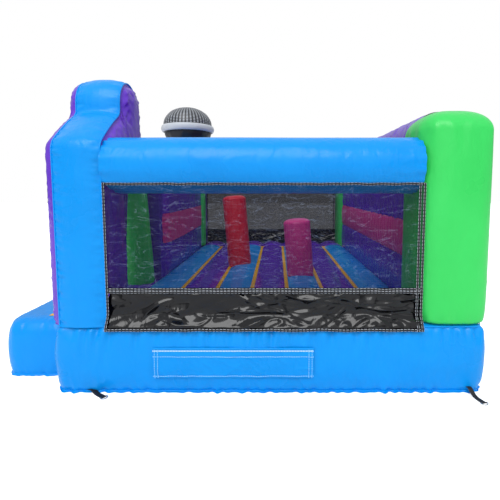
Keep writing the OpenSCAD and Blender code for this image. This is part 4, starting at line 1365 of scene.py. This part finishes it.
@dataclass
class AirSleeve:
    """The inflation sleeve at the rear, lying slack, with its tie strap."""

    def build(self) -> None:
        """Makes the sleeve, open at its outer end, and the strap round it."""
        low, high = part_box("inflation_sleeve")
        cy, cz, r = (low.y + high.y) / 2, (low.z + high.z) / 2, (high.z - low.z) / 2
        x = spread(low.x + 0.01, high.x, step=0.014)
        a = np.linspace(0, 2 * math.pi, 80, endpoint=False)
        fold = creases(x[:, None], (a * r)[None], 131, (low.x, 0, high.x, 0.78), 60, 0.22, 0.01, 1.3, 0.7)
        fold = fold * np.clip(np.minimum(a, 2 * math.pi - a) / 0.5, 0, 1)[None]
        outer = r - 0.002 - 0.004 * fold - 0.002 * np.abs(ripple(x[:, None], (a * r)[None], 132, 0.12))
        radius = np.concatenate([outer, outer[::-1] - 0.0035])
        gx = np.concatenate([x, x[::-1]])
        gx = np.broadcast_to(gx[:, None], radius.shape)
        points = np.stack([gx, cy + radius * np.cos(a), cz + radius * np.sin(a)], 2)
        n = len(x)
        middle = ((low.x + high.x) / 2, cy, cz)
        halves = [skin(name, part, Finish.BLUE, inside=middle, wrap=(False, True))
                  for name, part in (("sleeve_out", points[:n]), ("sleeve_in", points[n:]))]
        halves[1].data.flip_normals()
        rim = np.stack([points[n - 1], points[n]], 0)
        halves.append(skin("sleeve_rim", rim, Finish.BLUE, facing=(1, 0, 0), wrap=(False, True)))
        dress(join("inflation_sleeve_skin", halves), CASTLE, "pvc_blue", "inflation_sleeve")
        low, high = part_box("sleeve_strap")
        t = np.linspace(0, 2 * math.pi, 97)
        out = np.stack([0 * t, np.cos(t), np.sin(t)], 1)
        line = np.array([(low.x + high.x) / 2, cy, cz]) + out * r
        dress(strap("sleeve_tie", line, out, high.x - low.x, 0.003, Finish.STRAP), CASTLE, "webbing",
              "sleeve_strap")


@dataclass
class Anchors:
    """Webbing straps sewn under the base's edge, each with a ring at its end."""
    places: list[tuple[float, float, float, float, float]]
    width: float = 0.044
    reach: float = 0.205

    def build(self) -> None:
        """Makes each strap: out of the seam, down to the ground, and round the ring's bar."""
        parts = []
        for k, (x, y, angle, ring_z, rise) in enumerate(self.places):
            t = np.linspace(-0.03, self.reach - 0.008, 30)
            z = 0.0035 + rise * np.exp(-((t - 0.035) / 0.05) ** 2)
            a = np.radians(np.linspace(-90, 150, 16))
            eye = np.stack([self.reach + 0.0066 * np.cos(a), ring_z + 0.0066 * np.sin(a)], 1)
            back = np.stack([np.linspace(self.reach - 0.012, self.reach - 0.07, 8),
                             np.linspace(ring_z + 0.001, 0.0065, 8)], 1)
            line = np.concatenate([np.stack([t, z], 1), eye, back])
            run = np.gradient(line, axis=0)
            up = np.stack([-run[:, 1], run[:, 0]], 1)
            up /= np.linalg.norm(up, axis=1, keepdims=True)
            c, s = math.cos(angle), math.sin(angle)
            path = np.stack([x + line[:, 0] * c, y + line[:, 0] * s, line[:, 1]], 1)
            face = np.stack([up[:, 0] * c, up[:, 0] * s, up[:, 1]], 1)
            parts.append(strap(f"strap_{k}", path, face, self.width, 0.0012, Finish.STRAP, 0.0006))
        dress(join("anchor_webbing", parts), CASTLE, "webbing", "anchor_straps")


# ---- studio ----

@dataclass
class Studio:
    """A pale floor, soft light, and a camera at standing eye height."""
    eye: tuple[float, float, float] = (0.06, -5.395, 1.726)
    pitch: float = 4.9
    lens: float = 27.0

    def build(self) -> None:
        """Makes the floor, world, lamps and camera."""
        scene = bpy.context.scene
        scene.view_settings.view_transform = "Standard"
        u = np.linspace(-1, 1, 3) * 40
        gx, gy = grid(u, u)
        ground = skin("studio_floor", np.stack([gx, gy, 0 * gx - 0.001], 2), Finish.WEB, facing=(0, 0, 1))
        ground.data.materials.clear()
        ground.data.materials.append(self.floor_material())
        self.world(scene)
        for name, energy, angle, turn in (("key_light", 1.45, 35.0, (38, -16, 8)),
                                          ("fill_light", 0.5, 60.0, (60, 30, -20))):
            lamp = bpy.data.lights.new(name, "SUN")
            lamp.energy, lamp.angle = energy, math.radians(angle)
            obj = bpy.data.objects.new(name, lamp)
            obj.rotation_euler = [math.radians(t) for t in turn]
            scene.collection.objects.link(obj)
        camera = bpy.data.cameras.new("camera")
        camera.lens, camera.sensor_width = self.lens, 36.0
        camera.shift_x, camera.shift_y = -0.053, -0.058
        obj = bpy.data.objects.new("camera", camera)
        obj.location = self.eye
        obj.rotation_euler = (math.radians(90 - self.pitch), 0, 0)
        scene.collection.objects.link(obj)
        scene.camera = obj

    def floor_material(self) -> bpy.types.Material:
        """A pale floor that keeps a soft shadow and fades to white."""
        mat, shader = new_material("Pale studio floor")
        shader.inputs["Base Color"].default_value = (0.86, 0.86, 0.87, 1)
        shader.inputs["Roughness"].default_value = 0.95
        shader.inputs["Specular IOR Level"].default_value = 0.1
        glow = add_node(mat, "Emission")
        rays = add_node(mat, "LightPath")
        amount = add_node(mat, "Math", {0: rays.outputs["Is Camera Ray"]}, {1: 0.62}, operation="MULTIPLY")
        mat.node_tree.links.new(amount.outputs[0], glow.inputs["Strength"])
        both = add_node(mat, "AddShader", {0: shader.outputs[0], 1: glow.outputs[0]})
        out = next(n for n in mat.node_tree.nodes if n.type == "OUTPUT_MATERIAL")
        mat.node_tree.links.new(both.outputs[0], out.inputs["Surface"])
        return mat

    def world(self, scene: bpy.types.Scene) -> None:
        """A pale sky, brighter overhead, that the camera sees as white."""
        world = bpy.data.worlds.new("Soft sky")
        world.use_nodes = True
        scene.world = world
        tree = world.node_tree
        tree.nodes.clear()
        light, seen = tree.nodes.new("ShaderNodeBackground"), tree.nodes.new("ShaderNodeBackground")
        light.inputs[0].default_value = (0.93, 0.96, 1.0, 1)
        seen.inputs[0].default_value, seen.inputs[1].default_value = (1, 1, 1, 1), 1.0
        rays, mix = tree.nodes.new("ShaderNodeLightPath"), tree.nodes.new("ShaderNodeMixShader")
        at, part = tree.nodes.new("ShaderNodeTexCoord"), tree.nodes.new("ShaderNodeSeparateXYZ")
        fade = tree.nodes.new("ShaderNodeMapRange")
        fade.inputs["From Min"].default_value, fade.inputs["From Max"].default_value = 0.0, 0.6
        fade.inputs["To Min"].default_value, fade.inputs["To Max"].default_value = 0.3, 0.9
        tree.links.new(at.outputs["Generated"], part.inputs[0])
        tree.links.new(part.outputs[2], fade.inputs["Value"])
        tree.links.new(fade.outputs[0], light.inputs[1])
        out = tree.nodes.new("ShaderNodeOutputWorld")
        tree.links.new(rays.outputs["Is Camera Ray"], mix.inputs[0])
        tree.links.new(light.outputs[0], mix.inputs[1])
        tree.links.new(seen.outputs[0], mix.inputs[2])
        tree.links.new(mix.outputs[0], out.inputs[0])


def finish_cad(frame: dict[str, Any]) -> None:
    """Gives the CAD nodes that stay their materials.
    """
    for name, node in frame["nodes"].items():
        wanted = (Finish.ZINC if name.startswith("anchor_ring") or name == "zip_slider"
                  else Finish.WEB if name.endswith("_webs") else None)
        if wanted is not None:
            node.data.materials.clear()
            node.data.materials.append(WARDROBE.get(wanted))


def build_house(frame: dict[str, Any]) -> None:
    """Builds every piece, in order, from the frame's own sizes.
    """
    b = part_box
    joints = {j["name"]: j for j in frame["joints"]}
    near_high = b("base_near")[1]
    rear_low, rear_high = b("rear_wall_lower")
    cell_low, cell_high = b("floor_cell_1")
    last = b("floor_cell_7")[1]
    base_z, half_x = near_high.z, rear_high.x
    wall_low, wall_high = b("facade_wall")
    arch_high = b("facade_arch")[1]
    jamb_high = b("facade_jamb")[1]
    half_y = wall_high.y
    Base(half_x, half_y, base_z - 0.018).build()
    Floor(cell_low.x, last.x, 0.612, cell_high.z - 0.612, cell_high.y).build()
    arch_r = 0.22
    wall = FrontWall(wall_low.x + 0.045, wall_high.x - 0.005, -half_y, half_y, base_z - 0.03, wall_high.z,
                     wall_high.z - 0.16, jamb_high.y - 0.01 + arch_r, arch_r, arch_high.z,
                     jamb_high.y, b("entrance_post")[0].y, jamb_high.z)
    wall.build()
    for name, node, finish, dome, seed in (("entrance_post_skin", "entrance_post", Finish.GREEN, 0.05, 31),
                                           ("front_corner_post_skin", "front_corner_post", Finish.GREEN, 0.06,
                                            33),
                                           ("rear_column_near_skin", "rear_column_near", Finish.GREEN, 0.19,
                                            35),
                                           ("rear_column_far_skin", "rear_column_far", Finish.GREEN, 0.19,
                                            37)):
        low, high = b(node)
        post = RoundPost(name, ((low.x + high.x) / 2, (low.y + high.y) / 2), (high.x - low.x) / 2 - 0.002,
                         low.z, high.z, dome, finish, seed, square=3.4 if "column" in name else 2.0,
                         lean=-0.06 if node == "entrance_post" else 0.0)
        dress(post.make(), CASTLE, "pvc_green", node, air=True)
    RearWall(rear_low.x, rear_high.x, b("rear_wall_upper")[1].y, base_z, b("rear_wall_band")[0].z,
             b("rear_wall_band")[1].z, b("rear_wall_upper")[1].z).build()
    column_x = b("rear_column_near")[0].x + 0.034
    for side, name in ((-1, "near"), (1, "far")):
        net_low, net_high = b(f"window_net_{name}")
        beam_low, beam_high = b(f"top_beam_{name}")
        net_y = abs(net_low.y) if side < 0 else net_high.y
        SideWindow(side, name, net_low.x, column_x + 0.012, net_y, net_low.z, net_high.z, base_z - 0.055,
                   abs(beam_low.y + beam_high.y) / 2, (beam_low.z + beam_high.z) / 2,
                   (beam_high.z - beam_low.z) / 2, column_x - 0.004).build()
    for colour, finish, slot, seed in (("red", Finish.RED, "pvc_red", 141),
                                       ("pink", Finish.MAGENTA, "pvc_magenta", 145)):
        pivot = joints[f"{colour}_post_sway"]["pos_m"]
        low, high = b(f"bash_post_{colour}")
        r = (high.y - low.y) / 2
        lean = math.radians(4.5)
        BashPost(colour, finish, slot, tuple(pivot), r, (high.z - pivot[2]) / math.cos(lean), lean,
                 seed).build()
    head_low, head_high = b("mic_head")
    collar_low, collar_high = b("mic_collar")
    Microphone(((head_low.x + head_high.x) / 2, (head_low.y + head_high.y) / 2), b("mic_neck")[0].z,
               head_low.z,
               head_high.z, (head_high.x - head_low.x) / 2, collar_high.z - collar_low.z).build()
    step_low, step_high = b("entrance_step")
    Step(step_low.x, step_high.x, step_low.y, step_high.y, step_high.z).build()

    def near_face(z: Array) -> Array:
        """Y of the base's near face at height z, from the skirt's own bulge."""
        t = np.clip((z - 0.012) / (base_z - 0.05), 0, 1)
        return -half_y - 0.05 * np.sin(math.pi * t) ** 0.55 - 0.002

    ZipOpening(near_face).build()
    AirSleeve().build()
    ring = [b(f"anchor_ring_{k}") for k in range(1, 7)]
    ring_z = (ring[0][0].z + ring[0][1].z) / 2
    places = []
    for k in range(1, 7):
        pivot, axis = joints[f"anchor_ring_{k}_tilt"]["pos_m"], joints[f"anchor_ring_{k}_tilt"]["axis"]
        way = (-axis[1], axis[0])
        places.append((pivot[0] - 0.205 * way[0], pivot[1] - 0.205 * way[1], math.atan2(way[1], way[0]),
                       ring_z,
                       0.05 if k == 2 else 0.02))
    Anchors(places).build()
    finish_cad(frame)


def main() -> None:
    """Loads the frame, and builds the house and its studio."""
    logging.basicConfig(level=logging.INFO, format="%(message)s")
    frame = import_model()
    build_house(frame)
    Studio().build()


if __name__ == "__main__":
    main()
